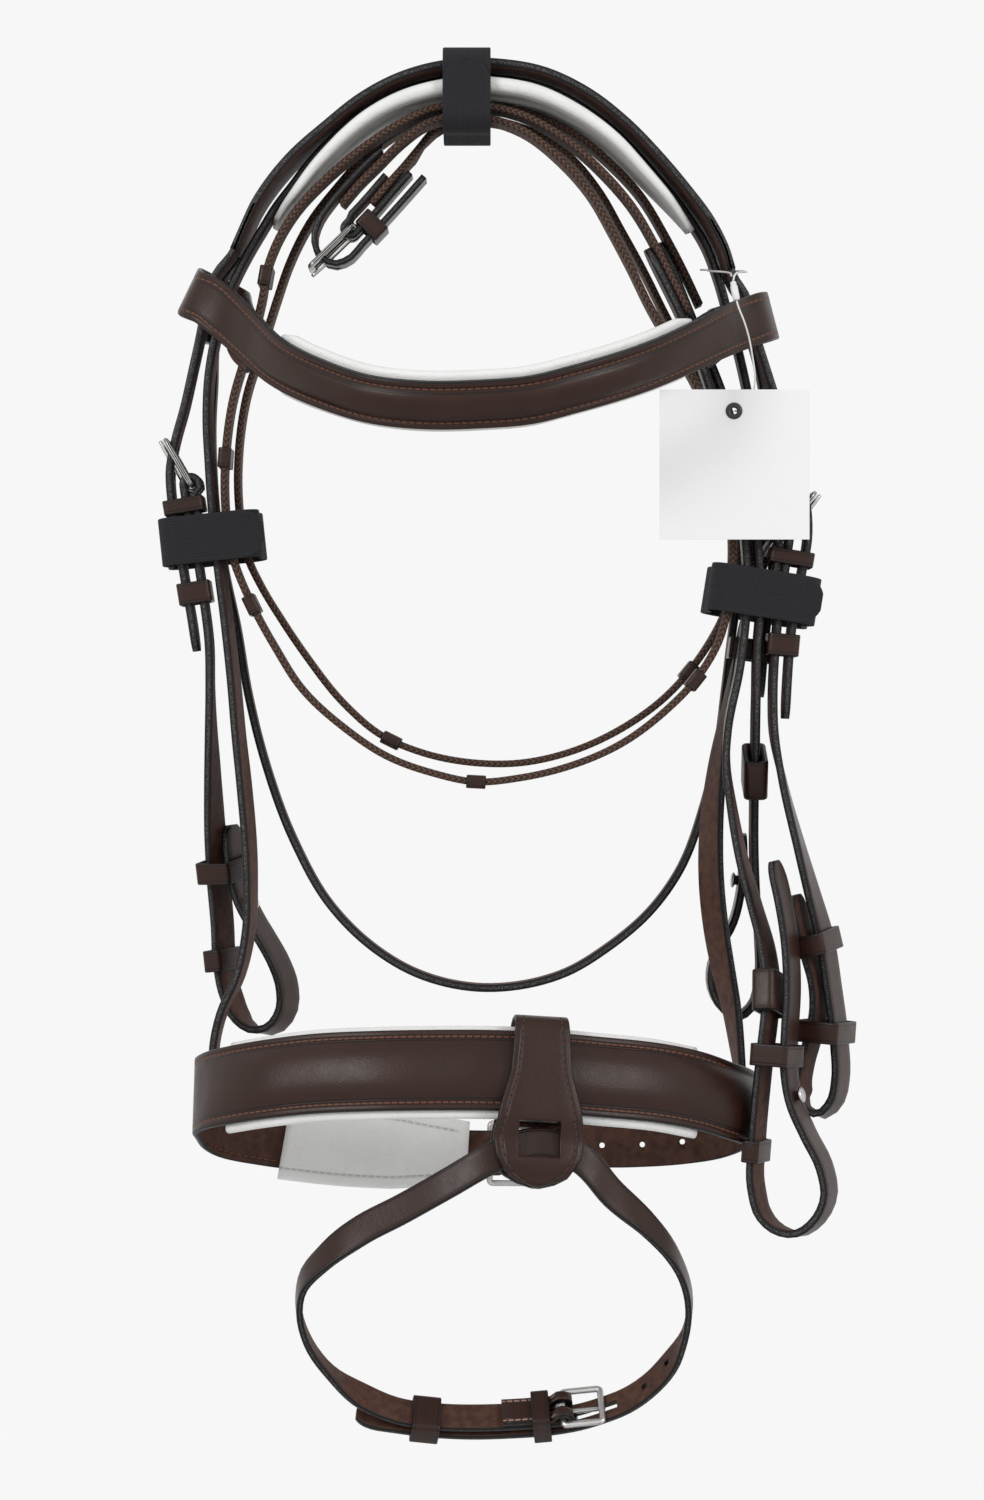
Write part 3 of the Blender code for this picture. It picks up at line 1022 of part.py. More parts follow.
stud("cheekpiece_left", LEFT_UP, (240, 908), 1, CHEEK_WIDTH)
stud("rein_end_back", REIN_END_BACK_LINE[-9:], (742, 884), 1, REIN_WIDTH)
stud("rein_end_front", END_UP, (788, 1100), -1, REIN_WIDTH)


# Ties that hold the bridle folded: one turn and a lapped end on the front

TIE_CORNER = 0.0025
TIE_LAP = TIE_WALL + SEAT
TIE_TAB = 0.004


def tie(name, start, along, deep_axis, wide, long, deep_to, tab=TIE_TAB):
    """A flat band round a bundle, from its front start corner, `long` along and `deep_to` deep."""
    r = TIE_CORNER
    spots = ((r * 1.6, 0.0), (long - r, 0.0), (long, r), (long, deep_to - r), (long - r, deep_to),
             (r, deep_to), (0.0, deep_to - r), (0.0, r - TIE_LAP), (r, -TIE_LAP), (long / 2, -TIE_LAP),
             (long + tab, -TIE_LAP))
    points = [start + along * a + deep_axis * b for a, b in spots]
    line = straight(points, wide, tip=TIP_LENGTH)
    ribbon(name, line, TIE_WIDTH, TIE_WALL, BLACK, side=0.5, tips=(False, True))


BUNDLE_FRONT = FRONT_LANE - LOOSE - TIE_WALL / 2
BUNDLE_BACK = BACK_LANE + CHEEK_WIDTH + LOOSE + TIE_WALL / 2
DEEP_BUNDLE_BACK = DEEP_LANE + THROAT_WIDTH + LOOSE + TIE_WALL / 2
TILT_LEFT = math.radians(6)
TILT_RIGHT = math.radians(-9)
LEFT_TIE_LONG = 0.0392
RIGHT_TIE_LONG = 0.0415
TOP_TIE_LONG = 0.0315
tie("left_tie", place(165, 542, BUNDLE_FRONT), Vector((math.cos(TILT_LEFT), 0, math.sin(TILT_LEFT))),
    BACKWARD, Vector((-math.sin(TILT_LEFT), 0, math.cos(TILT_LEFT))), LEFT_TIE_LONG, BUNDLE_BACK - BUNDLE_FRONT)
tie("right_tie", place(718, 586, BUNDLE_FRONT), Vector((math.cos(TILT_RIGHT), 0, math.sin(TILT_RIGHT))),
    BACKWARD, Vector((-math.sin(TILT_RIGHT), 0, math.cos(TILT_RIGHT))), RIGHT_TIE_LONG,
    DEEP_BUNDLE_BACK - BUNDLE_FRONT)
TOP_TIE_FRONT = -CROWN_PAD_WIDTH / 2 - LOOSE - TIE_WALL / 2
tie("top_tie", Vector((0, TOP_TIE_FRONT, TIE_WALL / 2)), Vector((0, 0, 1)), BACKWARD, RIGHTWARD,
    TOP_TIE_LONG, -2 * TOP_TIE_FRONT, tab=-TIE_TAB)


# Blank swing tag on its plastic loop

CARD_SIDE = 0.0647
CARD_WALL = 0.0006
CARD_DEPTH = -0.031
EYELET_PIXEL = (734, 411)
EYELET_HOLE = 0.0026
EYELET_SIDES = 16
STRING_RADIUS = 0.0004
CARD_CENTRE = place(734.5, 464.5, CARD_DEPTH)
EYELET = place(*EYELET_PIXEL, CARD_DEPTH)


def turned_ring(name, centre, outline, material):
    """A closed outline of (radius, depth) points turned round the eyelet's axis."""
    mesh = bpy.data.meshes.new(name)
    bm = bmesh.new()
    rings = []
    for k in range(EYELET_SIDES):
        a = 2 * math.pi * k / EYELET_SIDES
        rings.append([bm.verts.new(centre + Vector((math.cos(a) * r, y, math.sin(a) * r)))
                      for r, y in outline])
    for k in range(EYELET_SIDES):
        one = rings[k]
        two = rings[(k + 1) % EYELET_SIDES]
        for n in range(len(outline)):
            after = (n + 1) % len(outline)
            bm.faces.new((one[n], two[n], two[after], one[after]))
    bmesh.ops.recalc_face_normals(bm, faces=bm.faces)
    bm.to_mesh(mesh)
    bm.free()
    return add_object(name, mesh, material)


def tag_card():
    """A square card with a round hole near its top edge."""
    mesh = bpy.data.meshes.new("tag_card")
    bm = bmesh.new()
    half = CARD_SIDE / 2
    square = [(-half, -half), (half, -half), (half, half), (-half, half)]
    drop = EYELET - CARD_CENTRE
    sides = EYELET_SIDES // 4
    for y in (-CARD_WALL / 2, CARD_WALL / 2):
        outer = [bm.verts.new(CARD_CENTRE + Vector((x, y, z))) for x, z in square]
        inner = []
        for k in range(EYELET_SIDES):
            a = 2 * math.pi * k / EYELET_SIDES - math.radians(135)
            spot = Vector((math.cos(a) * EYELET_HOLE, y, math.sin(a) * EYELET_HOLE))
            inner.append(bm.verts.new(CARD_CENTRE + drop + spot))
        for k in range(4):
            arc = [inner[(k * sides + n) % EYELET_SIDES] for n in range(sides + 1)]
            bm.faces.new((outer[k], outer[(k + 1) % 4], *arc[::-1]))
        if y < 0:
            front = (outer, inner)
    for near, far in zip(front, (outer, inner)):
        for k in range(len(near)):
            after = (k + 1) % len(near)
            bm.faces.new((near[k], near[after], far[after], far[k]))
    bmesh.ops.recalc_face_normals(bm, faces=bm.faces)
    bm.to_mesh(mesh)
    bm.free()
    add_object("tag_card", mesh, CARD)


tag_card()
EYELET_OUTLINE = ((0.0014, -0.001), (0.0036, -0.001), (0.0036, -0.0006), (0.0022, -0.0006), (0.0022, 0.0006),
                  (0.0036, 0.0006), (0.0036, 0.001), (0.0014, 0.001))
turned_ring("tag_eyelet", EYELET, EYELET_OUTLINE, BLACK)
STRING_POINTS = ((736.6, 300.8, -0.0405), (738.5, 308, -0.0405), (743, 318, -0.0398), (747, 330, -0.038),
                 (750, 342, -0.036), (752, 354, -0.034), (754, 366, -0.032), (755, 376, -0.0305),
                 (755, 385, -0.0293), (753, 394, -0.0286), (749, 402, -0.0284), (744, 408, -0.0284),
                 (739, 411, -0.0285), (736, 411, -0.0287), (734.4, 411, -0.0291), (734, 411, -0.03),
                 (734, 411, -0.0312))
wire("tag_string", [place(*point) for point in STRING_POINTS], STRING_RADIUS, CARD, resolution=2)
LOCK_SHARE = 4.0
LOCK_POINTS = ((736.5, 300, -0.0405), (734, 287, -0.0405), (733, 282, -0.0405))
LOOP_POINTS = ((733.5, 280, -0.0403), (734, 277, -0.0395), (735, 275, -0.034), (737, 273, -0.026),
               (741, 272, -0.0215), (745, 272, -0.018), (742, 272, 0.0), (740, 271, 0.0185),
               (736, 271, 0.0193), (709, 270, 0.0193), (704.5, 270, 0.018), (707, 270, 0.0),
               (710, 271, -0.012), (724, 272, -0.0205), (730, 273, -0.026), (731, 275, -0.034),
               (731.5, 276, -0.0375))
FASTENER = wire("tag_fastener", [place(*point) for point in LOCK_POINTS + LOOP_POINTS], STRING_RADIUS, CARD,
                resolution=2)
for slot in FASTENER.data.splines[0].points[:len(LOCK_POINTS)]:
    slot.radius = LOCK_SHARE


# Pieces that swing together share one parent on their axis

TAG_PIVOT = place(*STRING_POINTS[0])


def hang(name, pivot, pieces):
    parent = bpy.data.objects.new(name, None)
    parent.location = pivot
    BRIDLE.objects.link(parent)
    for piece in pieces:
        made = bpy.data.objects[piece]
        made.parent = parent
        made.location -= pivot


hang("tag_swing_axis", TAG_PIVOT, ("tag_card", "tag_eyelet", "tag_string"))
hang("flash_swing_axis", FLASH_PIVOT, ("flash_strap", "flash_buckle_frame", "flash_buckle_tongue",
                                       "flash_fixed_keeper", "flash_sliding_keeper"))
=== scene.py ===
# %% [markdown]
# # A snaffle bridle on its hook
# A bridle is a set of leather straps cut from one hide, folded round small buckles and stitched.
# Here it hangs from one hook, held folded by three cloth ties. The straps hang on edge, so the
# picture mostly shows their blackened edges.
# It could be sculpted, but a strap is really a flat band led along a path, so almost every piece
# below is one grid, wrapped round the strap's cut end and carried along its path.

import collections
import json
import math

import bmesh
import bpy
import numpy as np
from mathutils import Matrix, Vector

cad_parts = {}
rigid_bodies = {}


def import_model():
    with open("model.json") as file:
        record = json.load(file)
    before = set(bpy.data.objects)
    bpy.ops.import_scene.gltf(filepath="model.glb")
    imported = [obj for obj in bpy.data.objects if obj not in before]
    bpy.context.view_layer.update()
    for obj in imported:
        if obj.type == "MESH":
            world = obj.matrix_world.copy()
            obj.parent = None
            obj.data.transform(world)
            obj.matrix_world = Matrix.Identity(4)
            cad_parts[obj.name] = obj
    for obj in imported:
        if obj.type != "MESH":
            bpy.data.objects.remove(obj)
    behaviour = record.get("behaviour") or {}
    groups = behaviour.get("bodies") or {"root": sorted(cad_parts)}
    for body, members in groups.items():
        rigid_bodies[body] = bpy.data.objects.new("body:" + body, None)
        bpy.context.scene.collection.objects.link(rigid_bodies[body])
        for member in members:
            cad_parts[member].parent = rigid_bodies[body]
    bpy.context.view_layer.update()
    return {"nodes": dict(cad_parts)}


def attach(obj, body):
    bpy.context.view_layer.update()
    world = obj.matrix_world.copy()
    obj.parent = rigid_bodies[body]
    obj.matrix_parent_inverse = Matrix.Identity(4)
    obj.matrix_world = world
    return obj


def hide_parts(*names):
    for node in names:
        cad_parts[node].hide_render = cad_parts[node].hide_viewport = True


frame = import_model()


def add(name, data):
    """A new object in the scene."""
    made = bpy.data.objects.new(name, data)
    bpy.context.scene.collection.objects.link(made)
    return made


def to_mesh(bm, name):
    """The edited geometry as a mesh."""
    mesh = bpy.data.meshes.new(name)
    bm.to_mesh(mesh)
    bm.free()
    return mesh


# %% [markdown]
# ## Where things are
# Each path is drawn in the picture's own points, with a depth behind or before the hook. One function
# turns them into places. It could be typed in metres, but picture points are easy to check by eye.

# %% From a picture point to a place
PIXEL = 0.00044
VIEW_DISTANCE = 1.6
PICTURE_HEIGHT = 1500
VIEW_CENTRE_PIXEL = (492, 750)
HOOK_PIXEL = (467, 135)


def place(across, down, depth):
    """The world point that the picture shows at this pixel, at this depth from the hook."""
    reach = PIXEL * (VIEW_DISTANCE + depth) / VIEW_DISTANCE
    hook_x = (HOOK_PIXEL[0] - VIEW_CENTRE_PIXEL[0]) * PIXEL
    hook_z = (VIEW_CENTRE_PIXEL[1] - HOOK_PIXEL[1]) * PIXEL
    x = (across - VIEW_CENTRE_PIXEL[0]) * reach - hook_x
    z = (VIEW_CENTRE_PIXEL[1] - down) * reach - hook_z
    return Vector((x, depth, z))


BRIDLE_MIDDLE = place(*VIEW_CENTRE_PIXEL, 0.0)
print("the middle of the picture is at", tuple(round(v, 4) for v in BRIDLE_MIDDLE))

# %% [markdown]
# ## The camera
# The photograph was taken straight on, from about arm's length. A camera at the same distance, with the
# lens worked out from the size of one picture point, gives the same view. A guessed lens would show
# the straps' depths wrongly.

# %% The camera
lens = bpy.data.cameras.new("front_view")
lens.sensor_fit = "VERTICAL"
lens.sensor_height = 36.0
lens.lens = lens.sensor_height * VIEW_DISTANCE / (PICTURE_HEIGHT * PIXEL)
camera = add("front_view", lens)
camera.location = BRIDLE_MIDDLE - Vector((0, VIEW_DISTANCE, 0))
camera.rotation_euler = (math.pi / 2, 0, 0)
bpy.context.scene.camera = camera
print("lens:", round(lens.lens, 2), "mm")

# %% [markdown]
# ## Writing nodes as sums
# A finish is a small tree of nodes. Placed one by one they are hard to read, so a value on its way
# through the tree is wrapped in a class that knows plus, minus and times. Colours go through Mix nodes,
# because a Math node would turn them grey.

# %% Values that can be added up
class Flow:
    """A value on its way through a finish's nodes."""

    def __init__(self, tree, socket):
        self.tree = tree
        self.socket = socket

    def math(self, operation, *others):
        values = dict(enumerate((self, *others)))
        return node(self.tree, "ShaderNodeMath", {"operation": operation}, values)

    def __add__(self, other):
        return self.math("ADD", other)

    __radd__ = __add__

    def __mul__(self, other):
        return self.math("MULTIPLY", other)

    __rmul__ = __mul__

    def __sub__(self, other):
        return self.math("SUBTRACT", other)

    def __rsub__(self, other):
        return node(self.tree, "ShaderNodeMath", {"operation": "SUBTRACT"}, {0: other, 1: self})

    def __truediv__(self, other):
        return self.math("DIVIDE", other)

    def __gt__(self, other):
        return self.math("GREATER_THAN", other)

    def __abs__(self):
        return self.math("ABSOLUTE")


def node(tree, kind, settings=(), sockets=(), out=0):
    """One node: its settings first, then the values or flows of its sockets."""
    made = tree.nodes.new(kind)
    for name, value in dict(settings).items():
        setattr(made, name, value)
    for key, value in dict(sockets).items():
        if isinstance(value, Flow):
            tree.links.new(value.socket, made.inputs[key])
        else:
            made.inputs[key].default_value = value
    return Flow(tree, made.outputs[out]) if made.outputs else made


def ramp(value, low, high):
    """0 below low, 1 above high, and smooth between."""
    return node(value.tree, "ShaderNodeMapRange", {"interpolation_type": "SMOOTHSTEP"},
                {0: value, 1: low, 2: high, 3: 0.0, 4: 1.0})


def near(value, full, gone):
    """1 where the value is smaller than full, 0 above gone, and smooth between."""
    return 1.0 - ramp(value, full, gone)


def blend(share, first, second):
    """A colour part of the way from the first to the second."""
    colours = [colour if isinstance(colour, Flow) else (*colour, 1.0) for colour in (first, second)]
    return node(share.tree, "ShaderNodeMix", {"data_type": "RGBA", "clamp_factor": True},
                {0: share, 6: colours[0], 7: colours[1]}, out=2)


print("operations:", sum(1 for name in vars(Flow) if name.startswith("__")))

# %% [markdown]
# ## The studio
# The bridle hangs before a white wall under two large soft lamps. A modelled wall would hide it from
# behind, so the white comes from the world, where only the camera and shiny surfaces see it. The pale
# floor is far below, and keeps the shadow.

# %% White surroundings
BACKDROP_WHITE = 0.93
AMBIENT = 0.68
WHITE = (1.0, 1.0, 1.0, 1.0)
bpy.context.scene.view_settings.view_transform = "Standard"
world = bpy.data.worlds.new("studio")
bpy.context.scene.world = world
world.use_nodes = True
air = world.node_tree
air.nodes.clear()
to_camera, to_gloss, through_glass = [
    node(air, "ShaderNodeLightPath", out=ray)
    for ray in ("Is Camera Ray", "Is Glossy Ray", "Is Transmission Ray")]
shown = to_camera.math("MAXIMUM", to_gloss).math("MAXIMUM", through_glass)
dim, bright = [node(air, "ShaderNodeBackground", (), {"Color": WHITE, "Strength": level})
               for level in (AMBIENT, BACKDROP_WHITE)]
either = node(air, "ShaderNodeMixShader", (), {0: shown, 1: dim, 2: bright})
node(air, "ShaderNodeOutputWorld", (), {"Surface": either})
print("backdrop", BACKDROP_WHITE, "ambient", AMBIENT)

# %% Two soft lamps and the floor
LAMP_SIZE = 0.6
LAMPS = (("lamp_left", (-1.3, -1.5, 0.55), 15.0), ("lamp_right", (1.4, -1.4, 0.5), 12.0))
FLOOR_DROP = 1.25
FLOOR_RADIUS = 2.6
for name, spot, power in LAMPS:
    light = bpy.data.lights.new(name, "AREA")
    light.shape, light.size, light.energy = "SQUARE", LAMP_SIZE, power
    lamp = add(name, light)
    lamp.location = spot
    lamp.rotation_euler = (BRIDLE_MIDDLE - Vector(spot)).to_track_quat("-Z", "Y").to_euler()
bm = bmesh.new()
bmesh.ops.create_circle(bm, cap_ends=True, segments=64, radius=FLOOR_RADIUS)
bmesh.ops.translate(bm, verts=bm.verts, vec=(0, 0, -FLOOR_DROP))
floor = add("floor", to_mesh(bm, "floor"))
print("lamps:", len(LAMPS), "and a floor", FLOOR_DROP, "m below the hook")

# %% [markdown]
# ## How a strap's skin is measured
# Every strap carries a UV map in metres. U runs along the strap, and V is the distance in from the
# nearer edge: below 0 on the cut edge itself, and 1 more on the flesh side. Stitch rows, creases and
# dyed edges then keep their distance from the edge however the strap bends.

# %% The measures and grains that the finishes share
STRAP_MAP = "strap"
FLESH_SHIFT = 1.0
FINE = 3.0
FULL_TURN = 2 * math.pi


def mottle(where, scale, detail=2.0):
    return node(where.tree, "ShaderNodeTexNoise", (), {"Vector": where, "Scale": scale, "Detail": detail})


def pebbles(where, scale):
    return node(where.tree, "ShaderNodeTexVoronoi", (), {"Vector": where, "Scale": scale})


def start(name, metallic=0.0, specular=0.5):
    """An empty finish, its shader, and where each point of the piece is."""
    made = bpy.data.materials.new(name)
    made.use_nodes = True
    shader = made.node_tree.nodes["Principled BSDF"]
    shader.inputs["Metallic"].default_value = metallic
    shader.inputs["Specular IOR Level"].default_value = specular
    return made, shader, node(made.node_tree, "ShaderNodeTexCoord", out="Object")


def strap_measure(made):
    """How far along the strap, how far in from its edge, 1 on the flesh side, and 1 where it is sewn."""
    tree = made.node_tree
    spot = node(tree, "ShaderNodeUVMap", {"uv_map": STRAP_MAP})
    along = node(tree, "ShaderNodeSeparateXYZ", (), {0: spot})
    raw = node(tree, "ShaderNodeSeparateXYZ", (), {0: spot}, out=1)
    flesh = raw > FLESH_SHIFT / 2
    sewn = node(tree, "ShaderNodeAttribute", {"attribute_name": "sewn"}, out="Fac")
    return along, raw - flesh * FLESH_SHIFT, flesh, sewn


def dress(made, shader, colour, rough, height):
    """Feeds a finish's colour, roughness and height in metres to its shader."""
    bump = node(made.node_tree, "ShaderNodeBump", (), {"Strength": 1.0, "Distance": 1.0, "Height": height})
    for flow, name in ((colour, "Base Color"), (rough, "Roughness"), (bump, "Normal")):
        made.node_tree.links.new(flow.socket, shader.inputs[name])
    return made


# %% A row of stitches
STITCH = 0.0031
STITCH_SLANT = 0.6
THREAD = 0.00036


def stitch_row(along, inset, distance, sewn):
    """A row of slanted stitches at this distance from the edge, and the groove it lies in."""
    beside = inset - distance
    step = ((along + beside * STITCH_SLANT) / STITCH).math("FRACT")
    length = near(abs(step - 0.5), 0.34, 0.43)
    thread = near(abs(beside), THREAD * 0.7, THREAD * 1.5) * length * sewn
    groove = near(abs(beside), THREAD, THREAD * 3) * sewn
    return thread, groove


print("a stitch every", STITCH * 1000, "mm")

# %% [markdown]
# ## Leather
# Bridle leather is dyed through, waxed, and rubbed smooth on its grain side. Its cut edges are inked
# black, with a painted highlight of sparkling grey along their middle for the shine of the burnished edge.
# The flesh side is redder and dull.
# The pores are far too small to model, so they are a bump.

# %% Dyed and waxed leather
LEATHER_DARK = (0.020, 0.0078, 0.0050)
LEATHER_BROWN = (0.034, 0.0130, 0.0082)
LEATHER_FLESH = (0.078, 0.033, 0.021)
# This black is the real edge ink, and also painted shade in the pressed creases and stitch grooves.
INK_AND_SHADE_BLACK = (0.004, 0.0036, 0.004)
# The grey edge colour below is a painted highlight: the shine along the middle of the burnished edges.
EDGE_GLINT_GREY = (0.15, 0.14, 0.14)
THREAD_BROWN = (0.13, 0.052, 0.030)
THREAD_DARK = (0.05, 0.024, 0.018)
THREAD_PALE = (0.34, 0.2, 0.16)
PORE_DEPTH = 0.00004
GRAIN_DEPTH = 0.00005
PRESSED_DEPTH = 0.0001
THREAD_STAND = 0.00022
GROOVE_DEPTH = 0.00018
SPARKLE_DEPTH = 0.00012
CREASE_FADE = (0.00018, 0.00042)
INK_FADE = (0.0001, 0.0007)
EDGE_GLINT_FADE = (-0.0014, -0.0007)


def leather(name, row, thread_colour=THREAD_BROWN, crease=0.0013):
    made, shader, where = start(name, specular=0.26)
    along, inset, flesh, sewn = strap_measure(made)
    tone = blend(mottle(where, 70.0), LEATHER_DARK, LEATHER_BROWN)
    tone = blend(flesh * ramp(mottle(where, 260.0), 0.1, 0.75), tone, LEATHER_FLESH)
    height = pebbles(where, 1500.0) * PORE_DEPTH + mottle(where, 420.0) * GRAIN_DEPTH
    rough = 0.29 + mottle(where, 160.0) * 0.14 + flesh * 0.3
    pressed = near(abs(inset - crease), *CREASE_FADE) * (1.0 - flesh)
    thread, groove = stitch_row(along, inset, row, sewn)
    # Painted shade: the pressed crease line and the stitch groove are darkened toward black.
    tone = blend(pressed * 0.7, tone, INK_AND_SHADE_BLACK)
    tone = blend(groove * 0.55, tone, INK_AND_SHADE_BLACK)
    tone = blend(thread, tone, thread_colour)
    ink = near(inset, *INK_FADE)
    # Painted highlight: a sparkling grey band along the middle of the inked edge stands for its shine.
    sparkle = ramp(mottle(where, 1700.0, FINE), 0.44, 0.62)
    edge_glint = near(inset, *EDGE_GLINT_FADE) * (0.12 + sparkle * 0.88)
    tone = blend(edge_glint * 0.55, blend(ink, tone, INK_AND_SHADE_BLACK), EDGE_GLINT_GREY)
    height = height - pressed * PRESSED_DEPTH + thread * THREAD_STAND - groove * GROOVE_DEPTH
    height = height + edge_glint * SPARKLE_DEPTH
    rough = rough + thread * 0.25 + edge_glint * 0.1 - ink * 0.04
    return dress(made, shader, tone, rough, height)


PLAIN_LEATHER = leather("plain_leather", 0.0022)
BAND_LEATHER_FINISH = leather("band_leather", 0.0031, crease=0.0046)
TAB_LEATHER_FINISH = leather("tab_leather", 0.0034, THREAD_DARK, crease=0.0034)
FLESH_SEWN_LEATHER = leather("flesh_out_leather", 0.0016, THREAD_PALE)
print("leather finishes:", 4)

# %% [markdown]
# ## White padding
# The browband, the noseband and the headpiece are backed with soft white leather over foam. It is
# rolled at the edges and shows faint creases where it bends. A plain white would look like plastic,
# so shallow wrinkles and a stitch row are added, and the white is greyed along the wrinkles and in the
# stitch groove as painted shade.

# %% White lining leather
LINING_WHITE = (0.80, 0.80, 0.79)
# The greyer white is used both for random tone and for painted shade in wrinkles and stitch grooves.
LINING_SHADE = (0.70, 0.695, 0.68)
THREAD_GREY = (0.42, 0.41, 0.40)
LINING_PORE_DEPTH = 0.00003
WRINKLE_DEPTH = 0.00009
LINING_THREAD_STAND = 0.0002
LINING_GROOVE_DEPTH = 0.00025


def lining(name, row):
    made, shader, where = start(name)
    along, inset, flesh, sewn = strap_measure(made)
    creases = ramp(abs(mottle(where, 90.0, FINE) - 0.5), 0.0, 0.035)
    thread, groove = stitch_row(along, inset, row, sewn)
    tone = blend(mottle(where, 55.0), LINING_WHITE, LINING_SHADE)
    # Painted shade: the white is greyed along the wrinkles and in the stitch groove.
    tone = blend((1.0 - creases) * 0.18, tone, LINING_SHADE)
    tone = blend(groove * 0.25, tone, LINING_SHADE)
    tone = blend(thread * 0.8, tone, THREAD_GREY)
    height = pebbles(where, 1100.0) * LINING_PORE_DEPTH + creases * WRINKLE_DEPTH
    height = height + thread * LINING_THREAD_STAND - groove * LINING_GROOVE_DEPTH
    return dress(made, shader, tone, 0.48 + mottle(where, 300.0) * 0.12, height)


PADDING = lining("white_lining", 0.0052)
print("lining:", PADDING.name)

# %% [markdown]
# ## Woven web and tape
# The reins are a flat brown web, woven in a zigzag that shows on its thick edges too. The ties are
# black hook-and-loop tape. Every thread could be modelled, but there are tens of thousands, so the
# weave is a pattern along the strap.

# %% Brown web and black tape
WEB_DARK = (0.028, 0.014, 0.010)
WEB_TAN = (0.15, 0.085, 0.058)
WEB_PITCH = 0.0026
WEB_FOLD = 0.0031
TAPE_BLACK = (0.009, 0.009, 0.011)
TAPE_GREY = (0.034, 0.034, 0.040)
TAPE_RIB = 0.0011
TAPE_RAIL = 0.0013
TAPE_BORDER = (0.0013, 0.0019)
YARN_STAND = 0.00028
FUZZ_STAND = 0.00012
RIB_STAND = 0.0002
LOOP_STAND = 0.00015


def web(name):
    made, shader, where = start(name, specular=0.3)
    along, inset, flesh, sewn = strap_measure(made)
    zigzag = abs((inset / WEB_FOLD).math("FRACT") - 0.5)
    yarn = ramp(((along / WEB_PITCH + zigzag * 1.5) * FULL_TURN).math("SINE"), -0.5, 0.7)
    fuzz = mottle(where, 1500.0, FINE)
    tone = blend(yarn * (0.35 + fuzz * 0.6), WEB_DARK, WEB_TAN)
    return dress(made, shader, tone, 0.66 + fuzz * 0.2, yarn * YARN_STAND + fuzz * FUZZ_STAND)


def tape(name):
    made, shader, where = start(name, specular=0.25)
    along, inset, flesh, sewn = strap_measure(made)
    rib, rail = [ramp((measure * (FULL_TURN / pitch)).math("SINE"), -0.6, 0.6)
                 for measure, pitch in ((along, TAPE_RIB), (inset, TAPE_RAIL))]
    loops = mottle(where, 1600.0, FINE)
    border = near(inset, *TAPE_BORDER)
    tone = blend(loops * (0.35 + rail * 0.35 + rib * 0.25), TAPE_BLACK, TAPE_GREY)
    height = (rib * rail) * RIB_STAND * (1.0 - border) + border * RIB_STAND + loops * LOOP_STAND
    return dress(made, shader, tone, 0.8 + loops * 0.12, height)


WEB_FINISH = web("brown_web")
TAPE_FINISH = tape("black_tape")
print("a zigzag every", WEB_PITCH * 1000, "mm")

# %% [markdown]
# ## Metal, card and plastic
# The buckles are brushed stainless steel. The blank tag is a smooth white card on a thin white
# plastic loop, with a black eyelet.

# %% Brushed steel, card, plastic and lacquer
STEEL_LIGHT = (0.66, 0.65, 0.63)
STEEL_DARK = (0.46, 0.455, 0.45)
BRUSHED_WAY = (1.0, 0.12, 0.3)
SCRATCH_DEPTH = 0.000018
FIBRE_DEPTH = 0.00001


def steel(name):
    made, shader, where = start(name, metallic=1.0)
    drawn = node(made.node_tree, "ShaderNodeMapping", (), {"Vector": where, "Scale": BRUSHED_WAY})
    scratch = mottle(drawn, 2600.0, FINE)
    tone = blend(mottle(where, 240.0), STEEL_LIGHT, STEEL_DARK)
    return dress(made, shader, tone, 0.24 + scratch * 0.2, scratch * SCRATCH_DEPTH)


def plain_stuff(name, light, dark, scale, rough, relief=FIBRE_DEPTH, specular=0.5):
    made, shader, where = start(name, specular=specular)
    fibre = mottle(where, scale, FINE)
    return dress(made, shader, blend(fibre, light, dark), rough + fibre * 0.08, fibre * relief)


STEEL_FINISH = steel("brushed_steel")
CARD_FINISH = plain_stuff("white_card", (0.80, 0.80, 0.81), (0.775, 0.775, 0.785), 900.0, 0.42)
PLASTIC_FINISH = plain_stuff("white_plastic", (0.78, 0.78, 0.78), (0.70, 0.70, 0.71), 300.0, 0.3)
LACQUER_FINISH = plain_stuff("black_lacquer", (0.010, 0.010, 0.011), (0.02, 0.02, 0.021), 500.0, 0.3)
floor.data.materials.append(
    plain_stuff("pale_floor", (0.80, 0.80, 0.80), (0.78, 0.78, 0.78), 3.0, 0.7, 0.0, specular=0.2))
print("finishes:", len(bpy.data.materials))

# %% [markdown]
# ## Paths
# A strap's path is a smooth curve through a few points, with the direction of the strap's width at
# each. A curve object could do this, but its twist is hard to control, so the curve is sampled here,
# and every sample becomes a station: a place, the way the strap runs, and the way it faces.

# %% Directions, blended values and routes
BACKWARD = Vector((0, 1, 0))
LEFTWARD = Vector((-1, 0, 0))
RIGHTWARD = Vector((1, 0, 0))
DOWNWARD = Vector((0, 0, -1))
STRAIGHT = ((0.0, 1.0, 0.0),)


def turned(*degrees):
    """Directions of a strap's width: straight back at 0, turned to the right above 0."""
    return [(math.sin(angle), math.cos(angle), 0.0) for angle in map(math.radians, degrees)]


def spread(values, count):
    """As many values as there are points, blended evenly from the few that are given."""
    given = np.array(values, dtype=float).reshape(len(values), -1)
    marks = np.linspace(0, len(given) - 1, count)
    return np.array([np.interp(marks, range(len(given)), column) for column in given.T]).T


def route(pixels, depths, guides=STRAIGHT):
    """Control points of a strap: place and width direction of its near edge."""
    depth, guide = spread(depths, len(pixels)), spread(guides, len(pixels))
    return [np.array([*place(*pixel, depth[i][0]), *guide[i]]) for i, pixel in enumerate(pixels)]


def deep(shares, size):
    return [share * size for share in shares]


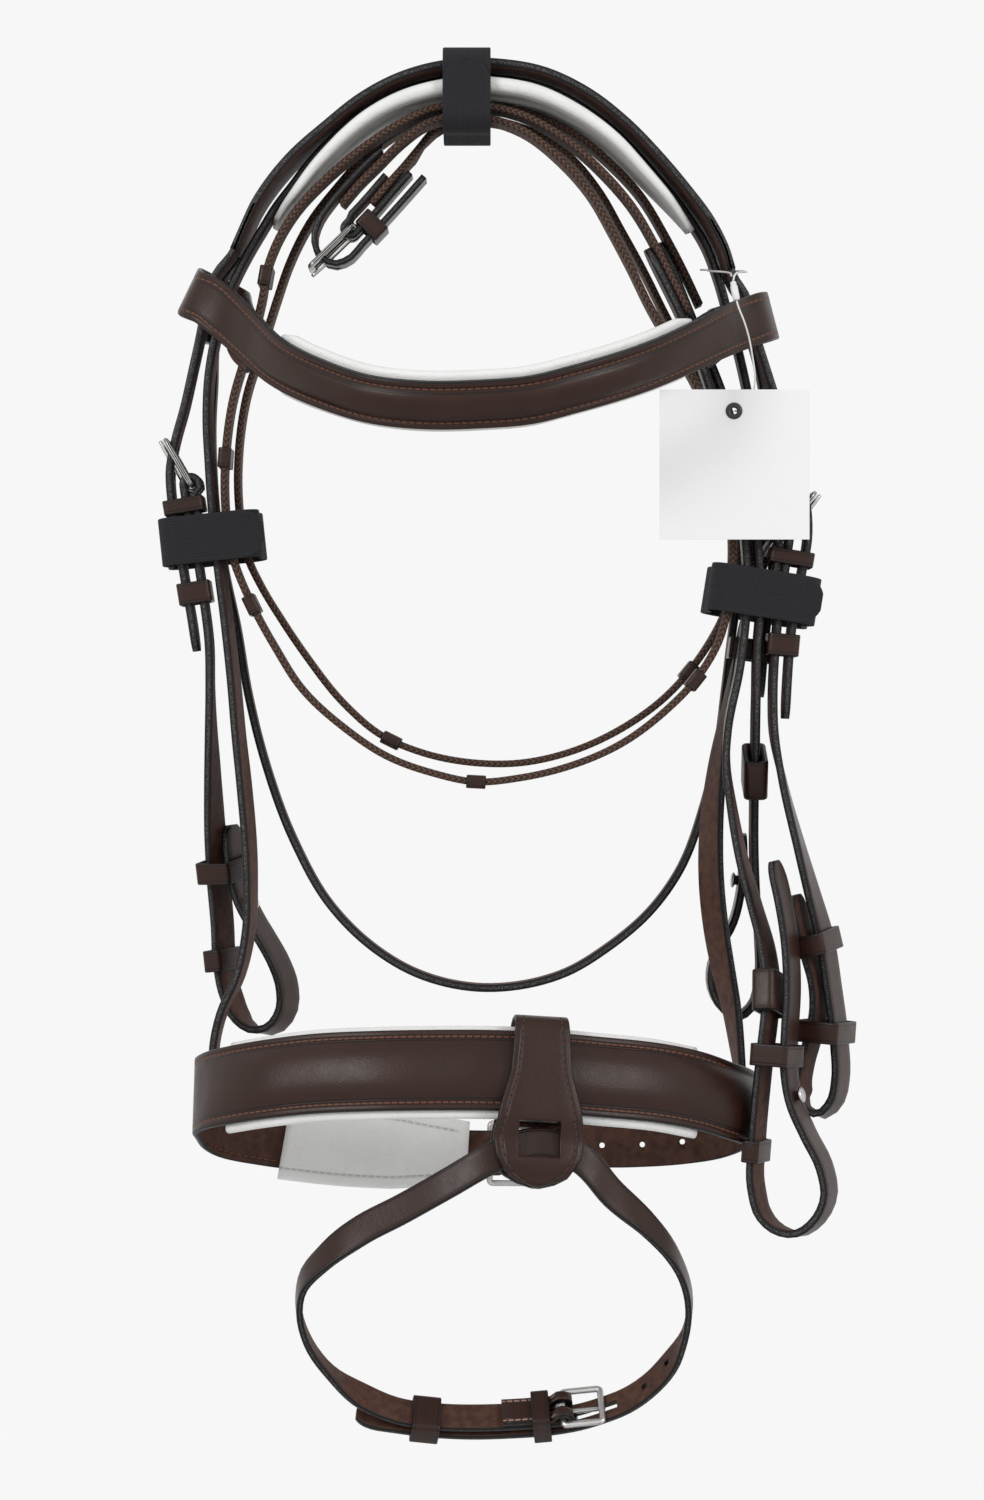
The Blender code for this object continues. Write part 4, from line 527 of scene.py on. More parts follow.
# %% Stations along a smooth curve
STEP = 0.0036
FINE_SPANS = 13
TIP_LENGTH = 0.010
TIP_SHARES = ((0.0, 0.36), (0.08, 0.52), (0.2, 0.68), (0.4, 0.84), (0.7, 0.96), (1.0, 1.0))
POINTED = (False, True)
POINTED_START = (True, False)


class Station:
    """One cross-section of a strap: where it is, which way it runs, lies and faces."""

    def __init__(self, point, tangent, guide, run):
        self.point = point
        self.tangent = tangent.normalized()
        self.width = (guide - self.tangent * guide.dot(self.tangent)).normalized()
        self.face = self.tangent.cross(self.width)
        self.run = run

    def across(self, distance):
        """A point this far from the near edge, over the strap's width."""
        return self.point + self.width * distance


def smooth_curve(controls):
    """Many points on a smooth curve through the controls, with how far along each one is."""
    knots = np.array(controls)
    chords = np.linalg.norm(np.diff(knots[:, :3], axis=0), axis=1)
    slopes = np.diff(knots, axis=0) / chords[:, None]
    inner = slopes[:-1] * chords[1:, None] + slopes[1:] * chords[:-1, None]
    ends = [slopes[0], *(inner / (chords[:-1] + chords[1:])[:, None]), slopes[-1]]
    fine = []
    for i, chord in enumerate(chords):
        for u in np.linspace(0, 1, FINE_SPANS)[:-1]:
            start = (1 + 2 * u) * (1 - u) ** 2 * knots[i] + u * (1 - u) ** 2 * chord * ends[i]
            stop = u * u * (3 - 2 * u) * knots[i + 1] + u * u * (u - 1) * chord * ends[i + 1]
            fine.append(start + stop)
    fine = np.array(fine + [knots[-1]])
    steps = np.linalg.norm(np.diff(fine[:, :3], axis=0), axis=1)
    return fine, np.concatenate([[0], np.cumsum(steps)])


def stations(controls, step=STEP, tips=(False, False)):
    """Sections spaced along the curve, with more of them where an end is rounded."""
    fine, runs = smooth_curve(controls)
    total = runs[-1]
    lead = TIP_LENGTH if tips[0] else 0
    tail = total - TIP_LENGTH if tips[1] else total
    marks = list(np.linspace(lead, tail, max(2, round((tail - lead) / step) + 1)))
    if tips[0]:
        marks = [share * TIP_LENGTH for share, narrow in TIP_SHARES[:-1]] + marks
    if tips[1]:
        marks += [total - share * TIP_LENGTH for share, narrow in TIP_SHARES[-2::-1]]
    rows = np.array([np.interp(marks, runs, column) for column in fine.T]).T
    points = [Vector(row[:3]) for row in rows]
    made = []
    for i, row in enumerate(rows):
        before, after = points[max(i - 1, 0)], points[min(i + 1, len(points) - 1)]
        made.append(Station(points[i], after - before, Vector(row[3:]), marks[i]))
    return made


def mixed(one, two, share):
    """A section part of the way from one to the next."""
    return Station(one.point.lerp(two.point, share), one.tangent.lerp(two.tangent, share),
                   one.width.lerp(two.width, share), one.run + (two.run - one.run) * share)


# %% Finding a place on a strap
def at_run(line, run):
    """A section at this distance along the strap."""
    index = next(i for i, station in enumerate(line) if station.run > run or station is line[-1])
    one, two = line[index - 1], line[index]
    return mixed(one, two, (run - one.run) / (two.run - one.run))


def nearest(line, across, down):
    """The index of the station whose near edge the picture shows closest to this pixel."""
    misses = [(station.point - place(across, down, station.point.y)).length for station in line]
    return misses.index(min(misses))


def between(line, across, down):
    """A section at this pixel, blended from the two nearest ones."""
    index = min(max(nearest(line, across, down), 1), len(line) - 2)
    found = []
    for one, two in ((line[index - 1], line[index]), (line[index], line[index + 1])):
        goal = place(across, down, (one.point.y + two.point.y) / 2)
        run = two.point - one.point
        share = (goal - one.point).dot(run) / max(run.length_squared, SEAT ** 2)
        made = mixed(one, two, min(1.0, max(0.0, share)))
        found.append(((made.point - goal).length, made))
    return min(found, key=lambda pair: pair[0])[1]


def legs(line, across, down):
    """The two halves of a strap that turns back at this pixel."""
    turn = nearest(line, across, down)
    return line[:turn + 1], line[turn:]


def stretch(line, low, high):
    """The stations between two distances along a strap."""
    return [station for station in line if low <= station.run <= high]


def last_part(line, length):
    return stretch(line, line[-1].run - length, line[-1].run)


def counted_from(line, start):
    """The same stations, with their distances counted from another start."""
    for station in line:
        station.run -= start
    return line


# %% [markdown]
# ## Wrapping a grid round a strap
# A strap's cut end is a flat bar with rounded corners. A grid is bent round that outline at every
# station, its seam is merged under the strap, and its two ends are filled. Extruding a face station by
# station would work too, but then the strap's own measure would be lost.

# %% The outline of a strap's cut end
SEAT = 0.0003
LEATHER = 0.0034
FACE_MARKS = ((0.5, 0.0), (1.0, 0.0))
SMOOTH_CORNER = 0.0009
MOST_CORNER = 0.95
CORNER_STEPS = 4
WELD = 1e-6


def quarter(half, deep, corner, edge, face, marks=FACE_MARKS, rise=0.0):
    """From the middle of one face to the middle of one cut edge: across, through and inset."""
    full = marks[-1][0] if marks[-1][0] < 1.0 else half
    made = []
    for mark, share in marks[::-1]:
        inset = mark * half / full if marks is not FACE_MARKS else mark * half
        made.append((edge * (half - inset), face * deep + rise * share, inset))
    for angle in np.linspace(0, math.pi / 2, CORNER_STEPS):
        across = edge * (half - corner + corner * math.sin(angle))
        through = face * (deep - corner + corner * math.cos(angle))
        made.append((across, through, corner * (1 - 4 * angle / math.pi)))
    return made + [(edge * half, 0.0, -deep)]


def outline(wide, thick, corner, marks, rise, grain):
    """Points round the cut end, and for each step between them whether it is on the flesh side."""
    half, deep = wide / 2, thick / 2
    corner = min(corner, deep * MOST_CORNER, half * MOST_CORNER)
    low_near = quarter(half, deep, corner, -1, -1)
    top_near = quarter(half, deep, corner, -1, 1, marks, rise)[::-1]
    top_far = quarter(half, deep, corner, 1, 1, marks, rise)
    low_far = quarter(half, deep, corner, 1, -1)[::-1]
    below, above = len(low_near) - 1, len(top_near) + len(top_far) - 2
    flesh = [grain > 0] * below + [grain < 0] * above + [grain > 0] * below
    return low_near + top_near[1:] + top_far[1:] + low_far[1:], flesh


def profile(marks, along):
    """A share that changes along a strap, or 1 where none is given."""
    return float(np.interp(along, *zip(*marks))) if marks else 1.0


def narrowing(run, total, tips):
    """The share of a strap's width that is left near a rounded end."""
    ends = [run] * tips[0] + [total - run] * tips[1]
    return min([1.0] + [np.interp(end / TIP_LENGTH, *zip(*TIP_SHARES)) for end in ends])


# %% Wrapping the grid
def wrap(name, line, wide, thick, side=0.0, corner=SMOOTH_CORNER, marks=FACE_MARKS, rise=0.0, swell=None,
         lift=0.0, wider=None, thicker=None, tips=(False, False), grain=1, sewn=(), closed=False):
    """A mesh wrapped round the strap's outline at every station, measured in metres."""
    bm = bmesh.new()
    measure = bm.loops.layers.uv.new(STRAP_MAP)
    stitched = bm.verts.layers.float.new("sewn")
    rings, total = [], line[-1].run
    for station in line:
        share = station.run / total
        here = wide * narrowing(station.run, total, tips) * profile(wider, share)
        deep = thick * profile(thicker, share)
        rings.append(outline(here, deep, corner, marks, rise * profile(swell, share), grain)[0])
    flesh = outline(wide, thick, corner, marks, rise, grain)[1]
    columns, rows = len(line) - 1, len(rings[0]) - 1
    bmesh.ops.create_grid(bm, x_segments=columns, y_segments=rows, size=1.0)
    spots = {}
    for vertex in bm.verts:
        i = round((vertex.co.x + 1) / 2 * columns)
        j = round((vertex.co.y + 1) / 2 * rows)
        spots[vertex] = (i, j)
        station, (across, through, inset) = line[i], rings[i][j]
        vertex[stitched] = float(any(low <= station.run <= high for low, high in sewn))
        vertex.co = station.across((0.5 - side) * wide + across) + station.face * (through + lift)
    for face in bm.faces:
        face.smooth = True
        under = flesh[min(spots[loop.vert][1] for loop in face.loops)]
        for loop in face.loops:
            i, j = spots[loop.vert]
            loop[measure].uv = (line[i].run, rings[i][j][2] + FLESH_SHIFT * under)
    bmesh.ops.remove_doubles(bm, verts=bm.verts, dist=WELD)
    if not closed:
        edges = [edge for edge in bm.edges if edge.is_boundary]
        for face in bmesh.ops.holes_fill(bm, edges=edges, sides=0)["faces"]:
            for loop in face.loops:
                loop[measure].uv = (0.0, -LEATHER / 2)
    bmesh.ops.recalc_face_normals(bm, faces=bm.faces)
    return to_mesh(bm, name)


# %% [markdown]
# ## Punching holes
# A tongue passes through a hole in the billet and turns in a slot at the fold of the chape. Each is
# cut from the finished strap with a rounded tool, as a punch would.

# %% Punching a strap
TONGUE_SLOT = 0.0038
SPARE_HOLE = 0.0024
SLOT_REACH = 0.0055
CUT_THROUGH = 2.2
ROUNDED = 0.48
UPRIGHT = 0.9
WHOLE = 0.9


def hole(line, run, wide, side=0.0, thick=LEATHER, long=SPARE_HOLE, across=SPARE_HOLE):
    """A cut in the middle of a strap: its middle, the ways along and through, and three sizes."""
    spot = at_run(line, run)
    return spot.across((0.5 - side) * wide), spot.tangent, spot.face, long, across, thick * CUT_THROUGH


def tongue_slot(line, wide, runs, side=0.0, thick=LEATHER):
    """The cut that a tongue needs between two distances along a strap."""
    return hole(line, sum(runs) / 2, wide, side, thick, runs[1] - runs[0], TONGUE_SLOT)


def bar_slot(bar, last, wide, side, gap, thick):
    """The cut in a chape's fold, from before the bar to past the end of the turn."""
    reach = SLOT_REACH + gap + thick
    centre = bar + last.width * ((0.5 - side) * wide) + last.tangent * (reach / 2 - SLOT_REACH)
    return centre, last.tangent, last.face, reach, TONGUE_SLOT, 2 * (gap + thick)


def punch_tool(centre, along, through, long, wide, depth):
    """A rounded slot's solid, from its middle, two directions and three sizes."""
    through = (through - along * through.dot(along)).normalized()
    across = along.cross(through)
    bm = bmesh.new()
    bmesh.ops.create_cube(bm, size=1.0)
    for vertex in bm.verts:
        x, y, z = vertex.co
        vertex.co = centre + along * (x * long) + across * (y * wide) + through * (z * depth)
    upright = [edge for edge in bm.edges
               if abs((edge.verts[0].co - edge.verts[1].co).normalized().dot(through)) > UPRIGHT]
    bmesh.ops.bevel(bm, geom=upright, offset=min(long, wide) * ROUNDED, affect="EDGES", segments=5,
                    profile=0.5, material=-1)
    bmesh.ops.recalc_face_normals(bm, faces=bm.faces)
    return add("punch", to_mesh(bm, "punch"))


def punch(piece, cuts):
    """Cuts each slot by itself, and keeps a cut only if it leaves the strap whole."""
    for cut in cuts:
        tool = punch_tool(*cut)
        step = piece.modifiers.new("punch", "BOOLEAN")
        step.operation, step.solver, step.object = "DIFFERENCE", "EXACT", tool
        bpy.context.view_layer.update()
        graph = bpy.context.evaluated_depsgraph_get()
        punched = bpy.data.meshes.new_from_object(piece.evaluated_get(graph))
        piece.modifiers.clear()
        if len(punched.vertices) > WHOLE * len(piece.data.vertices):
            piece.data = punched
        else:
            print("a hole was left out of", piece.name)
        bpy.data.objects.remove(tool)


# %% Joining a piece to the frame
def fit(name, mesh, finish, body="bridle", slot="leather", nodes=()):
    """Adds a finished mesh that rides on a body, in place of the solids it stands for."""
    made = add(name, mesh)
    mesh.materials.clear()
    mesh.materials.append(finish)
    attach(made, body)
    if nodes:
        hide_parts(*nodes)
    return made


def strap(name, line, wide, thick=LEATHER, finish=PLAIN_LEATHER, body="bridle", slot="leather",
          nodes=None, cuts=(), **shape):
    """A wrapped and punched strap, in place of the solid of the same name unless others are given."""
    made = fit(name, wrap(name, line, wide, thick, **shape), finish, body, slot,
               (name,) if nodes is None else nodes)
    punch(made, cuts)
    return made


print("leather", LEATHER * 1000, "mm thick")

# %% [markdown]
# ## Sizes and lanes
# The straps lie in lanes, one behind another, as they do when a bridle is folded round its hook.
# Every piece below takes its lane and its width from these few values.

# %% Sizes
CHEEK_WIDTH = SLIPHEAD_WIDTH = REIN_WIDTH = 0.0155
THROAT_WIDTH = 0.012
BACK_STRAP_WIDTH = 0.020
FLASH_WIDTH = 0.013
FLASH_LEATHER = HAND_LEATHER = 0.0028
WEB = BAND_LEATHER = 0.0030
LINING = 0.0042
LINING_STAND = 0.0028
CROWN_PAD = 0.0062
CROWN_PAD_WIDTH = 0.046
LOOSE = 0.0007
EASY = KEEPER_WALL = 0.0014
LANE_GAP = 0.0062
KEEPER_LENGTH = 0.0095
WIRE_RADIUS = 0.0013
TONGUE_RADIUS = 0.0010
TONGUE_PAST_SHARE = 0.1
HOLE_SPARE = 0.003
CROWN_WIDTH = 2 * CHEEK_WIDTH + LANE_GAP
FRONT_LANE = -(CHEEK_WIDTH + LANE_GAP / 2)
MIDDLE_LANE = -REIN_WIDTH / 2
BACK_LANE = LANE_GAP / 2
DEEP_LANE = BACK_LANE + CHEEK_WIDTH + LANE_GAP
CHAPE_LENGTH = 0.022
SHORT_CHAPE_LENGTH = 0.018
MIDDLE = 0.5
print("lanes from", round(FRONT_LANE, 4), "to", round(DEEP_LANE, 4))

# %% [markdown]
# ## The tag's string
# The tag hangs from a thin white plastic string. It is a real cord, so it is one open curve with its
# true length and thickness, starting at the lock above and ending in the eyelet.

# %% The tag's string
STRING_RADIUS = 0.0004
STRING_POINTS = (
    (736.6, 300.8, -0.0405), (738.5, 308, -0.0405), (743, 318, -0.0398), (747, 330, -0.038),
    (750, 342, -0.036), (752, 354, -0.034), (754, 366, -0.032), (755, 376, -0.0305), (755, 385, -0.0293),
    (753, 394, -0.0286), (749, 402, -0.0284), (744, 408, -0.0284), (739, 411, -0.0285), (736, 411, -0.0287),
    (734.4, 411, -0.0291), (734, 411, -0.03), (734, 411, -0.0312))
string_spots = [place(*point) for point in STRING_POINTS]
string_data = bpy.data.curves.new("tag_string_cord", "CURVE")
string_data.dimensions = "3D"
string_data.bevel_depth = STRING_RADIUS
string_data.bevel_resolution = 3
string_data.use_fill_caps = True
string_line = string_data.splines.new("NURBS")
string_line.points.add(len(string_spots) - 1)
for knot, spot in zip(string_line.points, string_spots):
    knot.co = (*spot, 1.0)
string_line.order_u = 3
string_line.use_endpoint_u = True
tag_cord = fit("tag_string_cord", string_data, PLASTIC_FINISH, "tag", "string", ("tag_string",))

# %% [markdown]
# ## The headpiece
# One wide strap goes over the poll. Both its ends are slit, so each ends in a cheek billet in front and
# a throat strap behind. The billets start inside the wide part, a little thinner than it, so no step
# shows where they come out.

# %% The headpiece's paths
CROWN_PIXELS = (
    (232, 252), (243, 227), (254, 203), (269, 180), (290, 155), (325, 124), (362, 95), (398, 76), (430, 66),
    (468, 61), (500, 62), (541, 69), (590, 92), (626, 120), (662, 157), (688, 188), (711, 219), (725, 246),
    (734, 275))
CHEEK_BILLET_LEFT_PIXELS = (
    (232, 252), (219, 279), (209, 308), (203, 340), (196, 372), (187, 412), (178, 445), (173, 473),
    (174, 498), (179, 530), (184, 560), (189, 590), (194, 618), (199, 652))
CHEEK_BILLET_RIGHT_PIXELS = (
    (734, 275), (743, 300), (752, 335), (766, 380), (782, 430), (796, 475), (804, 510), (805, 540),
    (800, 570), (793, 605), (788, 640), (785, 680), (783, 719))
THROAT_TAB_LEFT_PIXELS = ((232, 252), (219, 279), (210, 308), (205, 340))
THROAT_BILLET_RIGHT_PIXELS = (
    (734, 275), (743, 300), (752, 335), (762, 375), (767, 415), (768, 455), (768, 495), (767, 530),
    (764, 556))
THROAT_BILLET_SHARES = (0.0, 0.0, 0.0, 0.35, 0.85, 1.0, 1.0, 1.0, 1.0)
INSIDE = 2
LEFT_END, RIGHT_END = CROWN_PIXELS[INSIDE::-1], CROWN_PIXELS[-INSIDE - 1:]


def lane_line(end, pixels, off, depths=(0.0,), tips=POINTED):
    """A billet's near edge, from inside the headpiece out past its slit."""
    start, rest = route(end, (FRONT_LANE,)), route(pixels, depths)[1:]
    for control in start:
        control[1] += off + CROWN_WIDTH / 2
    for control in rest:
        control[1] += off
    return stations(start + rest, tips=tips)


crown_full = stations(route(
    (CHEEK_BILLET_LEFT_PIXELS[1], *CROWN_PIXELS, CHEEK_BILLET_RIGHT_PIXELS[1]), (FRONT_LANE,)))
crown_ends = [between(crown_full, *CROWN_PIXELS[k]).run for k in (0, -1)]
CROWN_LINE = counted_from(stretch(crown_full, *crown_ends), crown_ends[0])
LEFT_BILLET = lane_line(LEFT_END, CHEEK_BILLET_LEFT_PIXELS, FRONT_LANE)
RIGHT_BILLET = lane_line(RIGHT_END, CHEEK_BILLET_RIGHT_PIXELS, FRONT_LANE)
THROAT_TAB = lane_line(LEFT_END, THROAT_TAB_LEFT_PIXELS, BACK_LANE, tips=(False, False))
THROAT_BILLET = lane_line(RIGHT_END, THROAT_BILLET_RIGHT_PIXELS, BACK_LANE,
                          deep(THROAT_BILLET_SHARES, DEEP_LANE - BACK_LANE))
print("headpiece", round(CROWN_LINE[-1].run, 3), "m over the poll")

# %% [markdown]
# ## Buckles
# A buckle is a bent steel frame and a tongue curled round its bar. Both are rods led along a path, so
# the same wrapped grid makes them. The tongue rides on its own body, because it turns.

# %% A buckle and its tongue
FRAME_CORNER = WIRE_RADIUS * 1.3
FRAME_FLAT = 0.92
TONGUE_CURL = math.radians(200)
TONGUE_POINT = ((0.0, 1.0), (0.9, 1.0), (1.0, 0.7))
SEARCH_SPANS = 13


def rod(points, guide, closed=False):
    """Sections of a rod through the points."""
    made, run, count = [], 0.0, len(points)
    for i, spot in enumerate(points):
        before = points[i - 1] if closed or i else points[0]
        after = points[(i + 1) % count] if closed or i + 1 < count else points[-1]
        run += (spot - points[max(i - 1, 0)]).length
        made.append(Station(spot, after - before, guide, run))
    if closed:
        first = made[0]
        run += (first.point - points[-1]).length
        made.append(Station(first.point, first.tangent, first.width, run))
    return made


def rounded_loop(corners, radius, steps=4):
    """A closed outline through the corners, each one rounded."""
    made = []
    for k, corner in enumerate(corners):
        before = (corners[k - 1] - corner).normalized()
        after = (corners[(k + 1) % len(corners)] - corner).normalized()
        for share in np.linspace(0, 1, steps + 1):
            made.append(corner + before * (radius * (1 - share) ** 2) + after * (radius * share ** 2))
    return made


def tongue_hole(line, start, shaft, to_middle):
    """The runs of a strap between which the tongue goes through it."""
    clear = LEATHER / 2 + TONGUE_RADIUS + SEAT
    runs = []
    for one, two in zip(line, line[1:]):
        for share in np.linspace(0, 1, SEARCH_SPANS):
            offset = one.point.lerp(two.point, float(share)) + to_middle - start
            along = min(1.0, max(0.0, offset.dot(shaft) / shaft.length_squared))
            if (offset - shaft * along).length < clear:
                runs.append(one.run + (two.run - one.run) * share)
    return min(runs) - HOLE_SPARE, max(runs) + HOLE_SPARE


def buckle(prefix, bar, far, across, width, line, side, outward):
    """A frame from the bar to its far side, and the tongue that turns on the bar."""
    to_middle = across * ((MIDDLE - side) * width)
    middle = bar + to_middle
    reach = far - bar
    reach -= across * reach.dot(across)
    length, along = reach.length, reach.normalized()
    up = along.cross(across)
    if up.dot(outward) < 0:
        up = -up
    half = width / 2 + LOOSE + WIRE_RADIUS
    corners = [middle + along * x + across * y for x, y in
               ((0.0, half), (0.0, -half), (length, -half), (length, half))]
    strap(f"{prefix}_buckle", rod(rounded_loop(corners, FRAME_CORNER), up, closed=True),
          2 * WIRE_RADIUS * FRAME_FLAT, 2 * WIRE_RADIUS, STEEL_FINISH,
          "flash" if prefix == "flash" else "bridle", "steel", (f"{prefix}_buckle_frame",), side=MIDDLE,
          corner=WIRE_RADIUS * 0.8, closed=True)
    eye = WIRE_RADIUS + TONGUE_RADIUS + SEAT
    ring = [middle + along * math.sin(a) * eye + up * math.cos(a) * eye
            for a in np.linspace(-TONGUE_CURL, 0, 17)]
    shaft = along * length * (1.0 + TONGUE_PAST_SHARE)
    ring += [middle + shaft * share + up * eye for share in (0.25, 0.5, 0.8, 0.95, 1.0)]
    strap(f"{prefix}_tongue", rod(ring, across), 2 * TONGUE_RADIUS, 2 * TONGUE_RADIUS, STEEL_FINISH,
          f"{prefix}_tongue", "steel", (f"{prefix}_buckle_tongue",), side=MIDDLE,
          corner=TONGUE_RADIUS * 0.85, wider=TONGUE_POINT, thicker=TONGUE_POINT)
    return tongue_hole(line, middle + up * eye, shaft, to_middle)


# %% [markdown]
# ## Chapes and billets
# Where a strap takes a buckle, its end goes round the buckle's bar and is stitched back on itself.
# That turned end is the chape. The path is simply led on, half a circle round the bar and back. The
# billet is the pointed end that goes through the buckle.

# %% Folding a strap's end round a bar
FOLD_CLEAR = 0.002
FOLD_SHUT = 0.005
FIRST_STITCH = 0.004
HALF_CIRCLE_SPANS = 15
Chape = collections.namedtuple("Chape", "line slot hole front back")


def fold(line, bar_gap, layer_gap, length, side, thick):
    """The strap led once round a bar and back, and the middle of the bar."""
    last = line[-1]
    outward = last.face * side
    centre = last.point + outward * bar_gap
    turn = []
    for angle in np.linspace(0, math.pi, HALF_CIRCLE_SPANS)[1:]:
        point = centre - outward * math.cos(angle) * bar_gap + last.tangent * math.sin(angle) * bar_gap
        tangent = outward * math.sin(angle) + last.tangent * math.cos(angle)
        turn.append(Station(point, tangent, last.width, last.run + angle * bar_gap))
    turned_run = turn[-1].run
    shut = [FOLD_SHUT + share * (length - FOLD_SHUT) for share in (0.0, 0.25, 0.5, 0.75, 1.0)]
    for back, reach in [(FOLD_CLEAR, 2 * bar_gap)] + [(back, thick + layer_gap) for back in shut]:
        beside = at_run(line, last.run - back)
        point = beside.point + beside.face * side * reach
        turn.append(Station(point, -beside.tangent, beside.width, turned_run + back))
    return line + turn, centre, turned_run


def chape(prefix, flat, billet_line, wide, far, outward, side=0.0, fold_side=1, thick=LEATHER,
          length=SHORT_CHAPE_LENGTH, layer_gap=SEAT, across=BACKWARD, ease=0.0, first=FIRST_STITCH):
    """Folds a strap round its buckle: its line, its slot, the tongue's hole and its stitched runs."""
    gap = WIRE_RADIUS + SEAT + thick / 2
    line, bar, turned_run = fold(flat, gap, layer_gap, length, fold_side, thick)
    if across is not BACKWARD:
        far = bar + far
    runs = buckle(prefix, bar, far, across, wide + 2 * ease, billet_line, side, outward)
    before = flat[-1].run
    return Chape(line, bar_slot(bar, flat[-1], wide, side, gap, thick), runs,
                 (before - length, before - first), (turned_run + first, turned_run + length))


def billet(name, node_name, line, wide, runs, spare=(), thick=LEATHER, side=0.0, **shape):
    """A strap with the slot that a tongue goes through, and with its spare holes."""
    cuts = [tongue_slot(line, wide, runs, side, thick)]
    cuts += [hole(line, run, wide, side, thick) for run in spare]
    strap(name, line, wide, thick, nodes=(node_name,), side=side, cuts=cuts, **shape)


# %% [markdown]
# ## Cheekpieces
# Each cheekpiece starts inside the loop that holds the bit, goes down and round, and up to a buckle.
# Its end is folded round the buckle's bar and stitched.

# %% The two cheekpieces
CHEEK_LEFT_PIXELS = (
    (222, 826), (225, 850), (229, 878), (235, 900), (246, 922), (258, 942), (270, 964), (278, 988),
    (277, 1012), (266, 1027), (250, 1030), (234, 1020), (222, 997), (215, 962), (213, 925), (209, 880),
    (207, 840), (207, 790), (208, 740), (209, 690), (208, 640), (203, 600), (197, 560), (190, 525),
    (185, 500), (183, 485))
LANE_BLEND = (0.7, 0.35, 0.08)
CHEEK_LEFT_DEPTHS = ((BACK_LANE,) * 16 + tuple(
    share * BACK_LANE + (1 - share) * FRONT_LANE for share in LANE_BLEND) + (FRONT_LANE,) * 7)
CHEEK_LEFT_TURNS = turned(*[28] * 16, 22, 14, 6, *[0] * 7)
CHEEK_LEFT_FLAT = stations(route(CHEEK_LEFT_PIXELS, CHEEK_LEFT_DEPTHS, CHEEK_LEFT_TURNS),
                           tips=POINTED_START)
CHEEK_RIGHT_PIXELS = (
    (789, 897), (795, 925), (803, 955), (811, 985), (812, 1010), (806, 1040), (799, 1065), (796, 1090),
    (803, 1109), (817, 1114), (829, 1102), (834, 1080), (833, 1046), (826, 989), (818, 939), (808, 897),
    (797, 848), (782, 780), (775, 732), (774, 690), (776, 650), (780, 610), (785, 575), (791, 534))
CHEEK_RIGHT_TURNS = turned(*[27] * 15, 22, 14, 6, *[0] * 6)
CHEEK_RIGHT_FLAT = stations(route(CHEEK_RIGHT_PIXELS, (FRONT_LANE,), CHEEK_RIGHT_TURNS),
                            tips=POINTED_START)
CHEEK_HOLES = []
for hand, flat, billet_line, far, outward, way in (
        ("left", CHEEK_LEFT_FLAT, LEFT_BILLET, (166, 441), LEFTWARD, 1),
        ("right", CHEEK_RIGHT_FLAT, RIGHT_BILLET, (814, 494), RIGHTWARD, -1)):
    made = chape(f"cheek_{hand}", flat, billet_line, CHEEK_WIDTH, place(*far, FRONT_LANE), outward,
                 fold_side=-way, length=CHAPE_LENGTH)
    strap(f"cheekpiece_{hand}_strap", made.line, CHEEK_WIDTH, nodes=(f"cheekpiece_{hand}",), grain=way,
          tips=POINTED_START, sewn=(made.front, made.back), cuts=[made.slot])
    CHEEK_HOLES.append(made.hole)
    print(hand, "cheekpiece", round(made.line[-1].run, 3), "m")

# %% The headpiece and its billets
SPARE_STEP = 0.016
BILLET_END_CLEAR = 0.012
BILLET_START = ((0.0, 0.8), (0.09, 0.8), (0.16, 1.0), (1.0, 1.0))
strap("headpiece", CROWN_LINE, CROWN_WIDTH, nodes=("crown_strap",))
for hand, line, grain, runs in (("left", LEFT_BILLET, -1, CHEEK_HOLES[0]),
                                ("right", RIGHT_BILLET, 1, CHEEK_HOLES[1])):
    spare = [runs[1] + SPARE_STEP * k for k in range(1, 4)]
    billet(f"cheek_billet_{hand}", "crown_strap", line, CHEEK_WIDTH, runs,
           [run for run in spare if run < line[-1].run - BILLET_END_CLEAR], thicker=BILLET_START,
           grain=grain, tips=POINTED)
strap("throat_tab_left", THROAT_TAB, CHEEK_WIDTH, nodes=("crown_strap",), thicker=BILLET_START, grain=-1)
print("headpiece and billets done")

# %% [markdown]
# ## Sliphead, throatlatch and hanger
# The sliphead is a long plain strap that carries the noseband. It goes up the left side, over the poll
# and down to its buckle on the right, where a short hanger meets it.

# %% The throatlatch
THROAT_PIXELS = (
    (219, 312), (214, 345), (213, 380), (211, 420), (212, 470), (216, 520), (224, 570), (236, 626),
    (247, 691), (264, 760), (294, 842), (329, 904), (373, 948), (417, 974), (476, 988), (520, 986),
    (564, 974), (608, 948), (652, 910), (681, 869), (705, 804), (718, 750), (726, 690), (732, 640),
    (738, 600), (746, 560), (754, 525))
THROAT_DEPTHS = (*[BACK_LANE] * 4, MIDDLE_LANE, BACK_LANE, *[DEEP_LANE] * 3)
THROAT_FLAT = stations(route(THROAT_PIXELS, THROAT_DEPTHS))
throat = chape("throat", THROAT_FLAT, THROAT_BILLET, THROAT_WIDTH, place(778, 486, DEEP_LANE), RIGHTWARD)
strap("throatlatch_strap", throat.line, THROAT_WIDTH, nodes=("throatlatch",), grain=-1,
      sewn=(throat.back,), cuts=[throat.slot])
billet("throat_billet_right", "crown_strap", THROAT_BILLET, THROAT_WIDTH, throat.hole,
       thicker=BILLET_START, tips=POINTED)
print("throatlatch", round(THROAT_FLAT[-1].run, 3), "m")

